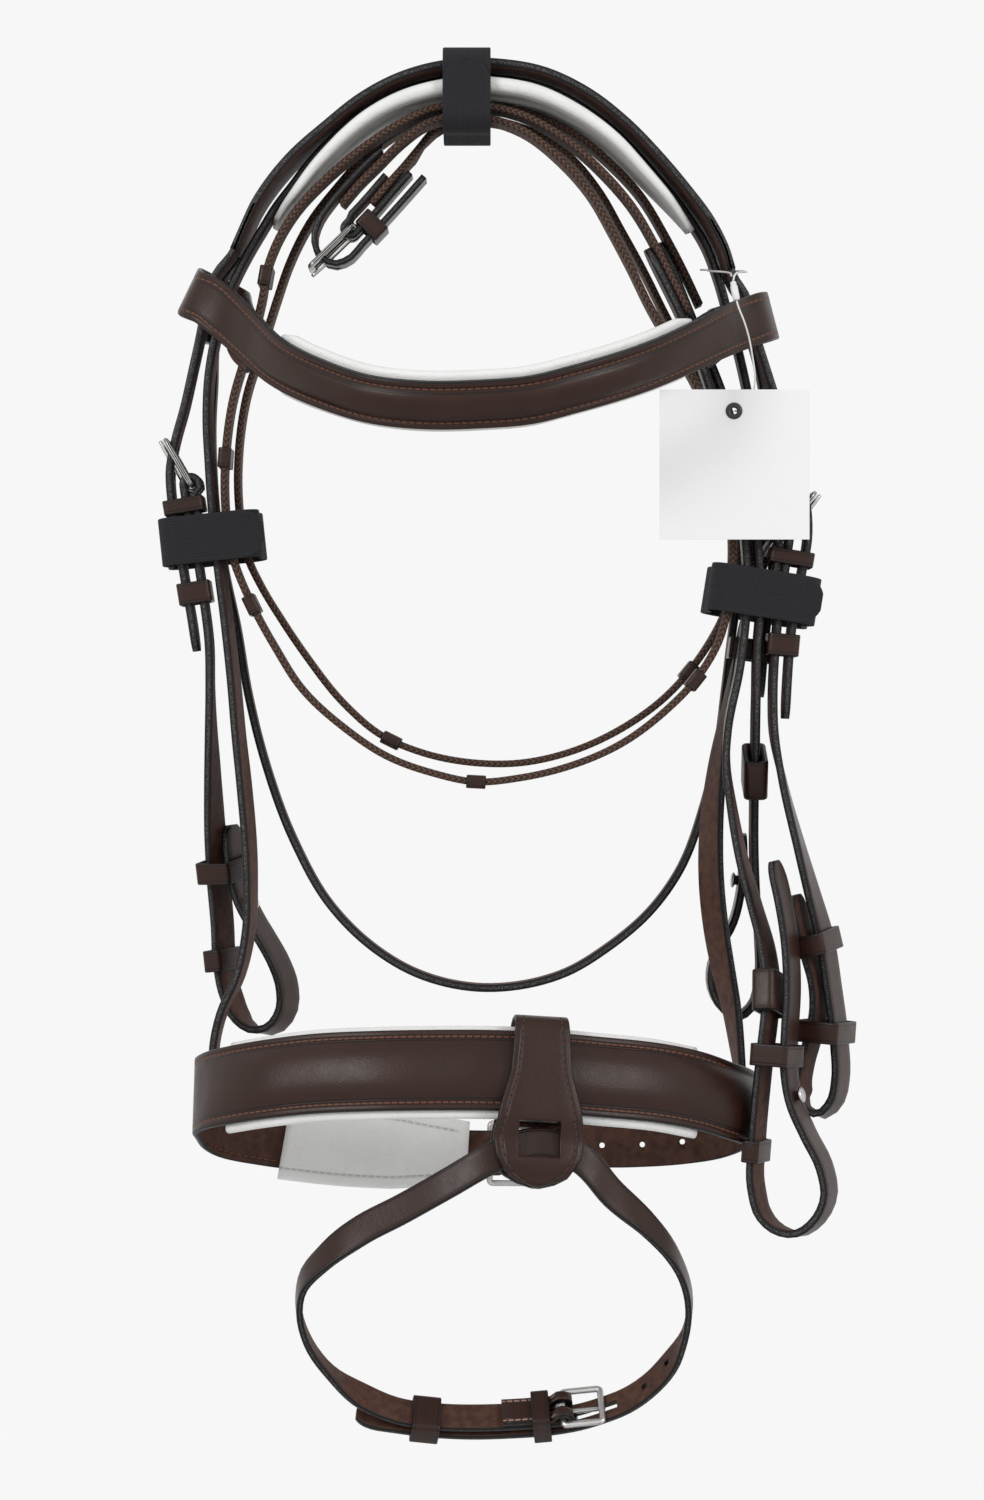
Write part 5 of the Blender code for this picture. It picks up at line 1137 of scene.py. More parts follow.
# %% The noseband's hanger and the sliphead
HANGER_PIXELS = (
    (743, 1088), (742, 1055), (739, 1012), (733, 970), (727, 930), (722, 880), (721, 830), (724, 770),
    (731, 710), (738, 660), (746, 620), (757, 590), (764, 565))
HANGER_TURNS = turned(0, -10, -20, -30, -34, -34, -30, -20, -8, 0, 0, 0, 0)
SLIPHEAD_PIXELS = (
    (213, 1088), (213, 1044), (221, 1010), (234, 982), (245, 932), (246, 878), (239, 780), (235, 740),
    (230, 680), (223, 615), (216, 559), (211, 507), (208, 462), (206, 420), (208, 375), (215, 335),
    (225, 300), (236, 275), (249, 250), (262, 228), (277, 204), (291, 186), (306, 166), (330, 140),
    (362, 112), (398, 92), (430, 82), (468, 77), (500, 78), (541, 86), (577, 103), (614, 130), (650, 168),
    (682, 207), (706, 244), (718, 275), (728, 310), (739, 350), (750, 400), (760, 460), (768, 510),
    (774, 545), (773, 580), (768, 620), (764, 660), (761, 697))
SLIPHEAD_DEPTHS = (*[FRONT_LANE] * 4, *[MIDDLE_LANE] * 3, *[BACK_LANE] * 3)
SLIPHEAD_TURNS = turned(0, 12, 4, 0, 0, 0, 0, 0, 0)
SLIPHEAD_LINE = stations(route(SLIPHEAD_PIXELS, SLIPHEAD_DEPTHS, SLIPHEAD_TURNS), tips=POINTED)
HANGER_FLAT = stations(route(HANGER_PIXELS, (BACK_LANE,), HANGER_TURNS))
hanger = chape("sliphead", HANGER_FLAT, SLIPHEAD_LINE, SLIPHEAD_WIDTH, place(783, 523, BACK_LANE),
               RIGHTWARD)
strap("hanger_strap", hanger.line, SLIPHEAD_WIDTH, nodes=("noseband_hanger",), grain=-1,
      sewn=(hanger.back,), cuts=[hanger.slot])
billet("sliphead", "sliphead_strap", SLIPHEAD_LINE, SLIPHEAD_WIDTH, hanger.hole, tips=POINTED)
print("sliphead", round(SLIPHEAD_LINE[-1].run, 3), "m")

# %% [markdown]
# ## The poll pad
# A white pad lies under the headpiece and keeps it off the horse's neck. It is a soft, flat roll that
# narrows to both ends, so its cut end is almost round at the edges.

# %% The poll pad
PAD_CORNER = 0.0029
PAD_HEM = 0.012
PADDING_ENDS = ((268, 219), (700, 234))
PADDING_WIDE_SHARES = ((0.0, 0.35), (0.08, 0.8), (0.2, 1.0), (0.8, 1.0), (0.92, 0.8), (1.0, 0.35))
PADDING_THICK_SHARES = ((0.0, 0.45), (0.15, 0.7), (0.4, 1.0), (0.6, 1.0), (0.85, 0.7), (1.0, 0.45))
pad_ends = [between(SLIPHEAD_LINE, *pixel).run for pixel in PADDING_ENDS]
PAD_LINE = []
for station in stretch(SLIPHEAD_LINE, *pad_ends):
    share = (station.run - pad_ends[0]) / (pad_ends[1] - pad_ends[0])
    drop = LEATHER / 2 + SEAT + CROWN_PAD * profile(PADDING_THICK_SHARES, share) / 2
    inward = Vector((station.tangent.z, 0.0, -station.tangent.x)).normalized()
    point = station.point + inward * drop
    point.y = 0.0
    PAD_LINE.append(Station(point, station.tangent, BACKWARD, station.run - pad_ends[0]))
pad = strap("poll_pad", PAD_LINE, CROWN_PAD_WIDTH, CROWN_PAD, PADDING, slot="lining",
            nodes=("crown_padding",), side=MIDDLE, corner=PAD_CORNER, wider=PADDING_WIDE_SHARES,
            thicker=PADDING_THICK_SHARES, sewn=((PAD_HEM, PAD_LINE[-1].run - PAD_HEM),))
print("poll pad", round(PAD_LINE[-1].run, 3), "m")

# %% [markdown]
# ## The browband
# The browband is raised: its leather is stretched over a rolled core and stitched on both sides of it.
# Its ends are loops that the headpiece passes through. The raised face is part of the outline that
# the grid is wrapped round, so the core and the stitched edge keep their shape round the bends.

# %% The browband and its lining
BROWBAND_WIDTH = 0.0215
BROWBAND_RELIEF = 0.0026
BROWBAND_BULGE = 0.095
BAND_STEP = 0.003
LINED_CONTROLS = slice(2, 12)
LINED_FROM = 6
BAND_LIFT = -(BAND_LEATHER / 2 + SEAT + LINING / 2)
ROLL_CORNER = 0.002
LOOP_LEFT_PIXELS = (
    (260, 352), (249, 342), (242, 332), (239, 322), (238, 316), (234, 311), (223, 305), (207, 298),
    (197, 293), (192, 291), (191, 292), (193, 295))
LOOP_RIGHT_PIXELS = (
    (763, 317), (769, 316), (770, 316), (768, 317), (759, 320), (738, 326), (724, 330), (718, 332),
    (717, 333), (715, 335), (709, 339), (701, 345))
LOOP_DEPTH_SHARES = (-0.43, -0.36, -0.25, -0.08, 0.15, 0.262, 0.268, 0.262, 0.17, 0.0, -0.135, -0.215)
BROWBAND_PIXELS = (
    (206, 300), (224, 314), (250, 338), (274, 360), (324, 385), (374, 400), (424, 405), (482, 404),
    (530, 400), (575, 389), (649, 366), (699, 344), (722, 333), (738, 326), (752, 321))
BROWBAND_DEPTH_SHARES = (
    -0.262, -0.315, -0.45, -0.59, -0.79, -0.93, -0.99, -1.0, -0.99, -0.94, -0.77, -0.58, -0.46, -0.35,
    -0.268)
LOOP_LEAN_LEFT = (0.43, 0.0, 0.9)
LOOP_LEAN_RIGHT = (-0.25, 0.0, 0.97)
BROW_LEAN = (0.0, -0.5, 0.87)
BROW_SWELL_SHARES = ((0.0, 0.0), (0.3, 0.0), (0.38, 1.0), (0.62, 1.0), (0.7, 0.0), (1.0, 0.0))
BROW_MARKS = (
    (0.0016, 0.0), (0.0025, 0.0), (0.0031, -0.1), (0.0037, 0.0), (0.0048, 0.42), (0.0063, 0.75),
    (0.0082, 0.94), (0.01075, 1.0))


def padding(name, node_name, line, wide, **shape):
    """A soft roll of lining behind a band."""
    roll = strap(name, line, wide + 2 * LINING_STAND, LINING, PADDING, slot="lining", nodes=(node_name,),
                 side=MIDDLE, lift=BAND_LIFT, corner=ROLL_CORNER, **shape)


BROW_FRONT = route(BROWBAND_PIXELS, deep(BROWBAND_DEPTH_SHARES, BROWBAND_BULGE),
                   (LOOP_LEAN_LEFT, (0.25, -0.3, 0.9), *[BROW_LEAN] * 3, (-0.1, -0.3, 0.9),
                    LOOP_LEAN_RIGHT))
BROW_LEFT = route(LOOP_LEFT_PIXELS, deep(LOOP_DEPTH_SHARES, BROWBAND_BULGE), (LOOP_LEAN_LEFT,))
BROW_RIGHT = route(LOOP_RIGHT_PIXELS, deep(LOOP_DEPTH_SHARES[::-1], BROWBAND_BULGE), (LOOP_LEAN_RIGHT,))
BROW_LINE = stations(BROW_LEFT + BROW_FRONT + BROW_RIGHT, step=BAND_STEP)
BROW_LINING_LINE = stations(BROW_FRONT[LINED_CONTROLS], step=BAND_STEP)[LINED_FROM:]
counted_from(BROW_LINING_LINE, BROW_LINING_LINE[0].run)
brow_length = BROW_LINE[-1].run
strap("browband_face", BROW_LINE, BROWBAND_WIDTH, BAND_LEATHER, BAND_LEATHER_FINISH, nodes=("browband",),
      side=MIDDLE, marks=BROW_MARKS, rise=BROWBAND_RELIEF, swell=BROW_SWELL_SHARES,
      sewn=((0.16 * brow_length, 0.84 * brow_length),))
padding("browband_roll", "browband_lining", BROW_LINING_LINE, BROWBAND_WIDTH, sewn=((0.006, 0.4),),
        thicker=((0.0, 0.7), (0.05, 1.0), (0.95, 1.0), (1.0, 0.7)),
        wider=((0.0, 0.8), (0.04, 1.0), (0.96, 1.0), (1.0, 0.8)))
print("browband", round(brow_length, 3), "m")

# %% [markdown]
# ## The noseband
# The noseband is a wider raised band in a tilted hoop. Its rear strap and its billet meet behind the
# chin in a buckle.

# %% The noseband and its lining
NOSEBAND_WIDTH = 0.0345
NOSEBAND_RELIEF = 0.0032
NOSE_DEPTH = 0.075
NOSE_STEP = 0.0033
NOSEBAND_PIXELS = (
    (468, 1153), (420, 1150), (340, 1143), (270, 1132), (225, 1120), (206, 1108), (199, 1100), (197, 1096),
    (205, 1091), (225, 1086), (260, 1080), (310, 1074), (375, 1071), (440, 1070), (476, 1070), (540, 1072),
    (600, 1077), (659, 1083), (700, 1091), (730, 1101), (750, 1108), (757, 1114), (757, 1120))
NOSEBAND_DEPTH_SHARES = (
    0.33, 0.33, 0.33, 0.3, 0.21, 0.07, -0.1, -0.22, -0.36, -0.52, -0.68, -0.81, -0.93, -0.98, -1.0, -0.985,
    -0.92, -0.79, -0.64, -0.48, -0.28, -0.05, 0.26)
NOSE_SIDE = (0.0, 0.38, 0.92)
NOSE_FRONT = (0.0, 0.32, 0.95)
NOSE_REAR = (0.0, 0.1, 0.99)
NOSE_SWELL_SHARES = ((0.0, 0.0), (0.34, 0.0), (0.42, 1.0), (0.9, 1.0), (1.0, 0.0))
NOSE_WIDE_SHARES = ((0.0, 0.62), (0.1, 0.75), (0.26, 1.0), (1.0, 1.0))
NOSE_MARKS = (
    (0.0016, 0.0), (0.0025, 0.0), (0.0031, -0.09), (0.0037, 0.0), (0.0052, 0.2), (0.0072, 0.5),
    (0.0098, 0.78), (0.013, 0.95), (0.01725, 1.0))
NOSE_ROUTE = route(NOSEBAND_PIXELS, deep(NOSEBAND_DEPTH_SHARES, NOSE_DEPTH),
                   (NOSE_REAR, NOSE_REAR, NOSE_SIDE, *[NOSE_FRONT] * 3, NOSE_SIDE))
NOSE_LINE = stations(NOSE_ROUTE, step=NOSE_STEP)
nose_length = NOSE_LINE[-1].run
strap("noseband_face", NOSE_LINE, NOSEBAND_WIDTH, BAND_LEATHER, BAND_LEATHER_FINISH, nodes=("noseband",),
      side=MIDDLE, marks=NOSE_MARKS, rise=NOSEBAND_RELIEF, swell=NOSE_SWELL_SHARES,
      wider=NOSE_WIDE_SHARES, sewn=((0.02, nose_length - 0.006),))
padding("noseband_roll_front", "noseband_lining_front", stations(NOSE_ROUTE[9:19], step=NOSE_STEP),
        NOSEBAND_WIDTH, sewn=((0.004, 0.4),))
padding("noseband_roll_rear", "noseband_lining_rear", stations(NOSE_ROUTE[:4], step=NOSE_STEP)[:-2],
        NOSEBAND_WIDTH, wider=((0.0, 0.7), (0.4, 0.9), (1.0, 1.0)), sewn=((0.004, 0.4),))
print("noseband", round(nose_length, 3), "m round")

# %% The straps behind the chin
NOSE_HOLE_STEP = 0.018
NOSE_BUCKLE_REACH = Vector((0.0185, 0.005, 0))
BACK_BILLET_PIXELS = (
    (746, 1116), (746, 1120), (740, 1128), (718, 1136), (680, 1142), (630, 1145), (590, 1146), (560, 1151),
    (540, 1152), (515, 1152), (490, 1153), (470, 1153), (440, 1153), (405, 1151))
BACK_BILLET_DEPTH_SHARES = (
    -0.02, 0.1, 0.25, 0.35, 0.38, 0.385, 0.39, 0.395, 0.405, 0.47, 0.535, 0.545, 0.545, 0.545)
BACK_CHAPE_PIXELS = ((425, 1152), (445, 1152.3), (468, 1152.7), (490, 1153))
BACK_CHAPE_DEPTH = NOSEBAND_DEPTH_SHARES[0] * NOSE_DEPTH + BAND_LEATHER / 2 + SEAT + LEATHER / 2
BACK_BILLET_LINE = stations(route(BACK_BILLET_PIXELS, deep(BACK_BILLET_DEPTH_SHARES, NOSE_DEPTH),
                                  (NOSE_SIDE, *[NOSE_REAR] * 3)), tips=POINTED)
BACK_CHAPE_FLAT = stations(route(BACK_CHAPE_PIXELS, (BACK_CHAPE_DEPTH,), (NOSE_REAR,)))
chin = chape("noseband", BACK_CHAPE_FLAT, BACK_BILLET_LINE, BACK_STRAP_WIDTH, NOSE_BUCKLE_REACH, BACKWARD,
             side=MIDDLE, fold_side=-1, layer_gap=2 * (WIRE_RADIUS + SEAT), ease=EASY,
             across=BACK_CHAPE_FLAT[-1].width)
strap("noseband_chape_strap", chin.line, BACK_STRAP_WIDTH, nodes=("noseband_chape",), side=MIDDLE,
      grain=-1, sewn=(chin.back,), cuts=[chin.slot])
billet("noseband_billet_strap", "noseband_billet", BACK_BILLET_LINE, BACK_STRAP_WIDTH, chin.hole,
       [chin.hole[0] - NOSE_HOLE_STEP * k for k in range(1, 5)], side=MIDDLE, tips=POINTED)
print("chin straps done")

# %% [markdown]
# ## The flash tab and strap
# A folded tab sits on the noseband. It narrows over the band and widens to a round end, where both
# layers have a window. The flash strap runs through the window and buckles under the jaws.

# %% The flash tab
TAB_LEATHER = 0.0026
TAB_WIDTH = 0.0385
TAB_DROP = 0.049
TAB_SLOT_DROP = 0.030
TAB_SLOT_HALF = 0.0046
TAB_SLACK = 0.0022
TAB_WINDOW = (0.0175, 0.0145)
TAB_PIXEL = (539, 1072)
TAB_STEP = 0.0018
TAB_WIDE_SHARES = (
    (0.0, 0.12), (0.012, 0.45), (0.035, 0.72), (0.075, 0.93), (0.13, 1.0), (0.21, 0.88), (0.3, 0.68),
    (0.44, 0.59), (0.56, 0.59), (0.7, 0.68), (0.79, 0.88), (0.87, 1.0), (0.925, 0.93), (0.965, 0.72),
    (0.988, 0.45), (1.0, 0.12))


def tab_line(carrier):
    """Front layer up over the noseband's top edge and down behind its lining."""
    front = BAND_LEATHER / 2 + NOSEBAND_RELIEF + TAB_SLACK + TAB_LEATHER / 2
    back = -(BAND_LEATHER / 2 + SEAT + LINING + TAB_SLACK + TAB_LEATHER / 2)
    edge = NOSEBAND_WIDTH / 2 + LINING_STAND + LOOSE
    shut = (TAB_LEATHER + SEAT) / 2 * 1.1
    foot = [(shut, -TAB_DROP), (shut * 1.3, -TAB_DROP * 0.95), (TAB_SLOT_HALF * 0.96, -TAB_DROP * 0.84),
            (TAB_SLOT_HALF, -TAB_SLOT_DROP)]
    path = foot + [(front * 0.92, -edge), (front, -edge * 0.5), (front, 0.0),
                   (front, edge * 0.6), (front * 0.85, edge * 0.95),
                   ((front + back) / 2, edge + TAB_LEATHER * 0.8),
                   (back * 0.95, edge * 0.97), (back, edge * 0.6), (back, 0.0), (back, -edge),
                   (-TAB_SLOT_HALF * 1.2, -edge * 1.2)] + [(-out, up) for out, up in foot[::-1]]
    return stations([np.array([*(carrier.across(up) + carrier.face * out), *carrier.tangent])
                     for out, up in path], step=TAB_STEP)


TAB_CARRIER = between(NOSE_LINE, *TAB_PIXEL)
TAB_LINE = tab_line(TAB_CARRIER)
SLOT_CENTRE = TAB_CARRIER.across(-TAB_SLOT_DROP)
strap("flash_loop", TAB_LINE, TAB_WIDTH, TAB_LEATHER, TAB_LEATHER_FINISH, nodes=("flash_tab",),
      side=MIDDLE, wider=TAB_WIDE_SHARES, grain=-1, sewn=((0.0, 1.0),),
      cuts=[(SLOT_CENTRE, TAB_CARRIER.tangent, TAB_CARRIER.face, *TAB_WINDOW,
             4 * (TAB_SLOT_HALF + TAB_LEATHER))])
print("flash tab", round(TAB_LINE[-1].run, 3), "m of leather")

# %% The flash strap and its buckle
FLASH_CHAPE_LENGTH = 0.026
FLASH_HOLE_STEP = 0.0145
FLASH_OVERLAP = 0.145
FLASH_DEPTH = -SLOT_CENTRE.y
FLASH_BUCKLE_REACH = Vector((0.0165, -0.001, 0.001))
FLASH_FACE = (0.0, 0.3, 0.95)
FLASH_LOW = (0.0, 0.72, 0.69)
FLASH_PIXELS = (
    (563, 1413), (540, 1415), (510, 1417), (480, 1418), (440, 1417), (394, 1410), (362, 1396), (331, 1373),
    (308, 1342), (299, 1310), (303, 1283), (325, 1257), (360, 1231), (402, 1209), (450, 1182), (490, 1159),
    (515, 1147), (538, 1143), (561, 1147), (584, 1161), (612, 1193), (648, 1225), (669, 1249), (683, 1275),
    (689, 1301), (686, 1332), (672, 1360), (652, 1383), (628, 1400), (602, 1410.5), (580, 1417),
    (555, 1421.5), (510, 1425), (470, 1426), (430, 1424), (390, 1419), (356, 1414))
FLASH_DEPTH_SHARES = (
    -0.62, -0.62, -0.62, -0.63, -0.64, -0.66, -0.68, -0.7, -0.73, -0.77, -0.8, -0.84, -0.88, -0.95, -1.03,
    -1.055, -1.024, -1.0, -0.998, -1.004, -0.98, -0.93, -0.89, -0.85, -0.8, -0.76, -0.72, -0.69, -0.66,
    -0.63, -0.605, -0.585, -0.582, -0.592, -0.605, -0.625, -0.64)
FLASH_GUIDES = (*[FLASH_LOW] * 7, *[(-0.1, 1.0, 0.35)] * 3, (-0.05, 0.8, 0.6), (0.0, 0.6, 0.8),
                *[FLASH_FACE] * 9, (0.0, 0.6, 0.8), (0.05, 0.8, 0.6), *[(0.1, 1.0, 0.35)] * 3,
                *[FLASH_LOW] * 11)
FLASH_CONTROLS = route(FLASH_PIXELS, deep(FLASH_DEPTH_SHARES, FLASH_DEPTH), FLASH_GUIDES)
FLASH_FLAT = stations(FLASH_CONTROLS[::-1], tips=POINTED_START)
FLASH_FAR = stretch(FLASH_FLAT, 0.0, FLASH_OVERLAP)
FLASH_NEAR = last_part(FLASH_FLAT, FLASH_OVERLAP)
ends = chape("flash", FLASH_FLAT, FLASH_FAR, FLASH_WIDTH, FLASH_BUCKLE_REACH, BACKWARD, side=MIDDLE,
             thick=FLASH_LEATHER, length=FLASH_CHAPE_LENGTH, across=FLASH_FLAT[-1].width, first=0.003)
flash_cuts = [tongue_slot(ends.line, FLASH_WIDTH, ends.hole, MIDDLE, FLASH_LEATHER), ends.slot]
flash_cuts += [hole(ends.line, ends.hole[1] + FLASH_HOLE_STEP * k, FLASH_WIDTH, MIDDLE, FLASH_LEATHER)
               for k in range(1, 5)]
strap("flash_strap_leather", ends.line, FLASH_WIDTH, FLASH_LEATHER, FLESH_SEWN_LEATHER, "flash",
      nodes=("flash_strap",), side=MIDDLE, tips=POINTED_START, grain=-1, sewn=(ends.back,), cuts=flash_cuts)
print("flash strap", round(FLASH_FLAT[-1].run, 3), "m")

# %% [markdown]
# ## Reins
# Each rein is a long web with a leather end for the bit and one for the hand buckle. Short leather
# stops are sewn round the web for grip.

# %% The webs
REIN_FRONT_PIXELS = (
    (690, 312), (672, 277), (655, 243), (633, 206), (604, 172), (565, 138), (520, 113), (468, 104),
    (434, 107), (400, 122), (362, 147), (325, 178), (296, 209), (277, 240), (267, 266), (262, 296),
    (255, 325), (246, 352), (232, 400), (225, 450), (224, 500), (230, 550), (252, 606), (275, 648),
    (300, 687), (344, 728), (388, 757), (432, 773), (476, 782), (520, 778), (564, 768), (623, 743),
    (667, 710), (700, 675), (720, 640), (730, 600), (733, 560), (730, 500), (717, 440), (697, 385),
    (672, 343), (650, 305), (632, 268), (612, 230), (590, 192), (560, 158), (524, 130), (492, 118),
    (468, 115), (446, 116.5), (424, 124), (401, 141), (377, 165), (357, 185), (342, 203))
REIN_BACK_PIXELS = (
    (700, 304), (684, 270), (664, 232), (642, 196), (614, 165), (576, 134), (520, 110), (468, 105),
    (440, 109), (412, 122), (386, 138), (360, 160), (337, 186), (310, 221), (290, 260), (276, 300),
    (262, 345), (246, 395), (238, 450), (238, 505), (246, 555), (260, 585), (280, 618), (305, 655),
    (344, 704), (379, 734), (423, 753), (476, 763), (520, 763), (564, 754), (623, 728), (667, 696),
    (700, 658), (725, 615), (738, 580), (740, 550), (739, 510), (733, 465), (716, 410), (692, 360),
    (668, 318), (644, 270), (622, 230), (599, 190), (566, 152), (520, 126), (470, 118), (450, 121),
    (433, 131), (420, 146), (405.5, 163.5), (388.5, 182.5), (371.5, 202.5))
WEB_CORNER = 0.0011
HAND_BLEND = 5
HAND_LEVEL = 2
HAND_LANE = BACK_LANE - 2 * LOOSE - KEEPER_WALL - REIN_WIDTH


def web_line(pixels, lane):
    """A web keeps its lane until its last few points, where both come together at the hand buckle."""
    meeting = list(np.linspace(lane, HAND_LANE, HAND_BLEND - HAND_LEVEL + 1))
    return stations(route(pixels, [lane] * (len(pixels) - HAND_BLEND) + meeting
                          + [HAND_LANE] * (HAND_LEVEL - 1)))


REIN_FRONT_LINE = web_line(REIN_FRONT_PIXELS, FRONT_LANE)
REIN_BACK_LINE = web_line(REIN_BACK_PIXELS, BACK_LANE)
for name, line in (("rein_web_front", REIN_FRONT_LINE), ("rein_web_back", REIN_BACK_LINE)):
    strap(f"{name}_braid", line, REIN_WIDTH, WEB, WEB_FINISH, slot="web", nodes=(name,), corner=WEB_CORNER)
    print(name, round(line[-1].run, 3), "m")

# %% The hand buckle and its leather ends
HAND_CHAPE_LENGTH = 0.028
HAND_BILLET_PIXELS = (
    (381, 149), (366, 163), (348, 182), (331, 202), (319, 220), (314, 239), (319, 254), (333, 263),
    (349, 258), (362, 244), (379, 226), (400, 203), (424, 176))
HAND_CHAPE_PIXELS = ((410, 172), (394, 190), (376, 211), (355, 233))
HAND_BILLET_LINE = stations(route(HAND_BILLET_PIXELS, (HAND_LANE,)))
HAND_CHAPE_FLAT = stations(route(HAND_CHAPE_PIXELS, (HAND_LANE,)))
hand = chape("rein", HAND_CHAPE_FLAT, HAND_BILLET_LINE, REIN_WIDTH, place(311, 266, HAND_LANE), DOWNWARD,
             fold_side=-1, thick=HAND_LEATHER, length=HAND_CHAPE_LENGTH, layer_gap=WEB + 2 * LOOSE)
strap("rein_hand_chape_strap", hand.line, REIN_WIDTH, HAND_LEATHER, nodes=("rein_hand_chape",),
      sewn=((0.0, HAND_CHAPE_FLAT[-1].run - 0.006), (hand.back[0], 1.0)), cuts=[hand.slot])
billet("rein_hand_billet_strap", "rein_hand_billet", HAND_BILLET_LINE, REIN_WIDTH, hand.hole,
       thick=HAND_LEATHER, grain=-1, sewn=((0.0, 0.03),))
print("hand buckle done")

# %% The leather ends for the bit
END_SEWN = ((0.01, 0.08),)
REIN_END_PIXELS = (
    (648, 247), (665, 281), (681, 314), (697, 350), (712, 392), (727, 440), (739, 490), (746, 540),
    (748, 590), (741, 665), (728, 732), (726, 765), (730, 805), (738, 855), (750, 905), (761, 950),
    (765, 985), (763, 1020), (760, 1046), (756, 1084), (751, 1141), (750, 1189), (759, 1218), (776, 1232),
    (795, 1234), (812, 1222), (823, 1199), (819, 1170), (803, 1137), (789, 1105), (783, 1070), (784, 1030),
    (786, 990), (784, 945), (776, 895), (768, 862))
REIN_END_SHARES = ((1.0,) * 12 + (1.05, 1.2, 1.45, 1.75, 2.0, 2.2) + (2.3,) * 13
                   + (2.25, 2.15, 2.05, 2.0, 1.95))
REIN_END_TURNS = turned(*[0] * 10, 2, 5, 9, 14, 19, 23, *[24] * 20)
REIN_END_BACK_PIXELS = (
    (660, 241), (675, 274), (688, 306), (704, 345), (722, 390), (738, 440), (750, 490), (758, 540),
    (761, 610), (758, 650), (757, 700), (756, 768), (755, 815), (755, 846), (757, 900), (760, 940),
    (760, 980), (752, 1008), (738, 1018), (722, 1008), (712, 988), (712, 968), (722, 945), (733, 925),
    (741, 895), (744, 865), (744, 838))
REIN_END_BACK_DEPTHS = ((BACK_LANE,) * 3 + (0.25 * FRONT_LANE, 0.75 * FRONT_LANE) + (FRONT_LANE,) * 6
                        + (0.35 * FRONT_LANE, MIDDLE_LANE + 2 * BACK_LANE + 0.25 * REIN_WIDTH)
                        + tuple(deep((0.4, 0.9, *[1.4] * 9, 1.3, 1.15, 1.0), REIN_WIDTH)))
REIN_END_LINE = stations(route(REIN_END_PIXELS, deep(REIN_END_SHARES, FRONT_LANE), REIN_END_TURNS),
                         tips=(True, True))
REIN_END_BACK_LINE = stations(route(REIN_END_BACK_PIXELS, REIN_END_BACK_DEPTHS), tips=(True, True))
for name, line, grain in (("rein_end_front", REIN_END_LINE, -1), ("rein_end_back", REIN_END_BACK_LINE, 1)):
    strap(f"{name}_strap", line, REIN_WIDTH, nodes=(name,), tips=(True, True), grain=grain, sewn=END_SEWN)
print("bit ends done")

# %% [markdown]
# ## Keepers and stops
# A keeper is a short band of leather that holds a strap's end down. It is the same wrapped strap as
# before, only its path goes once round the straps that it holds.

# %% A keeper round one or two straps
def band(name, centre, station, half_width, half_depth, length, wall, body="bridle", nodes=(),
         corner=0.0016):
    """A closed band whose walls lie at these half sizes from its middle."""
    corners = [centre + station.width * a + station.face * b for a, b in
               ((half_width, half_depth), (-half_width, half_depth), (-half_width, -half_depth),
                (half_width, -half_depth))]
    line = rod(rounded_loop(corners, corner, steps=5), station.tangent, closed=True)
    outward = (line[0].point - centre).dot(line[0].face)
    strap(name, line, length, wall, body=body, nodes=nodes, side=MIDDLE, corner=wall * 0.32, closed=True,
          grain=1 if outward > 0 else -1)


def keeper(node_name, first, second, pixel, width=CHEEK_WIDTH, thickness=LEATHER, side=0.0,
           length=KEEPER_LENGTH, wall=KEEPER_WALL, slack=LOOSE, beyond=0.0, body="bridle"):
    """A band at this picture point round two straps, or round one given twice."""
    one = between(first, *pixel)
    two = one if second is first else between(second, *pixel)
    same_way = 1 if one.tangent.dot(two.tangent) > 0 else -1
    spread_out = abs(one.tangent.cross(two.tangent).dot(one.width)) * length / 2
    station = Station(one.point, one.tangent + two.tangent * same_way, one.width, one.run)
    apart = two.point - one.point
    half_width = abs(apart.dot(station.width)) / 2 + width / 2 + slack + wall / 2
    deep_apart = apart.dot(station.face)
    room = abs(deep_apart) + beyond
    half_depth = (room + thickness + spread_out) / 2 + slack + wall / 2
    centre = one.point + station.width * ((MIDDLE - side) * width + apart.dot(station.width) / 2)
    centre += station.face * math.copysign(room / 2, deep_apart) - station.width * max(slack - LOOSE, 0.0)
    band(node_name.replace("keeper", "loop").replace("_stop", "_slide_stop"), centre, station,
         half_width, half_depth, length, wall, body, (node_name,))


# %% Keepers on the cheeks, the sliphead and the throat
RETURNED = LEATHER + 2 * SEAT
FIXED = {"length": 0.0065, "beyond": RETURNED}
SHORT_KEEPER = 0.0075
LEFT_UP, LEFT_DOWN = legs(CHEEK_LEFT_FLAT, 250, 1030)
RIGHT_UP, RIGHT_DOWN = legs(CHEEK_RIGHT_FLAT, 817, 1114)
END_DOWN, END_UP = legs(REIN_END_LINE, 786, 1235)
keeper("cheek_left_fixed_keeper", LEFT_BILLET, LEFT_DOWN, (186, 505), **FIXED)
keeper("cheek_left_sliding_keeper", LEFT_BILLET, LEFT_DOWN, (196, 592), body="cheek_left_slider")
keeper("cheek_right_fixed_keeper", RIGHT_BILLET, RIGHT_DOWN, (788, 556), **FIXED)
keeper("cheek_right_sliding_keeper", RIGHT_BILLET, RIGHT_DOWN, (779, 644), body="cheek_right_slider")
keeper("sliphead_keeper", HANGER_FLAT, last_part(SLIPHEAD_LINE, 0.065), (750, 650), SLIPHEAD_WIDTH,
       slack=EASY, body="sliphead_slider")
keeper("throat_keeper", THROAT_BILLET, THROAT_FLAT, (756, 548), THROAT_WIDTH, length=SHORT_KEEPER,
       beyond=RETURNED)
print("keepers near the buckles: 6")

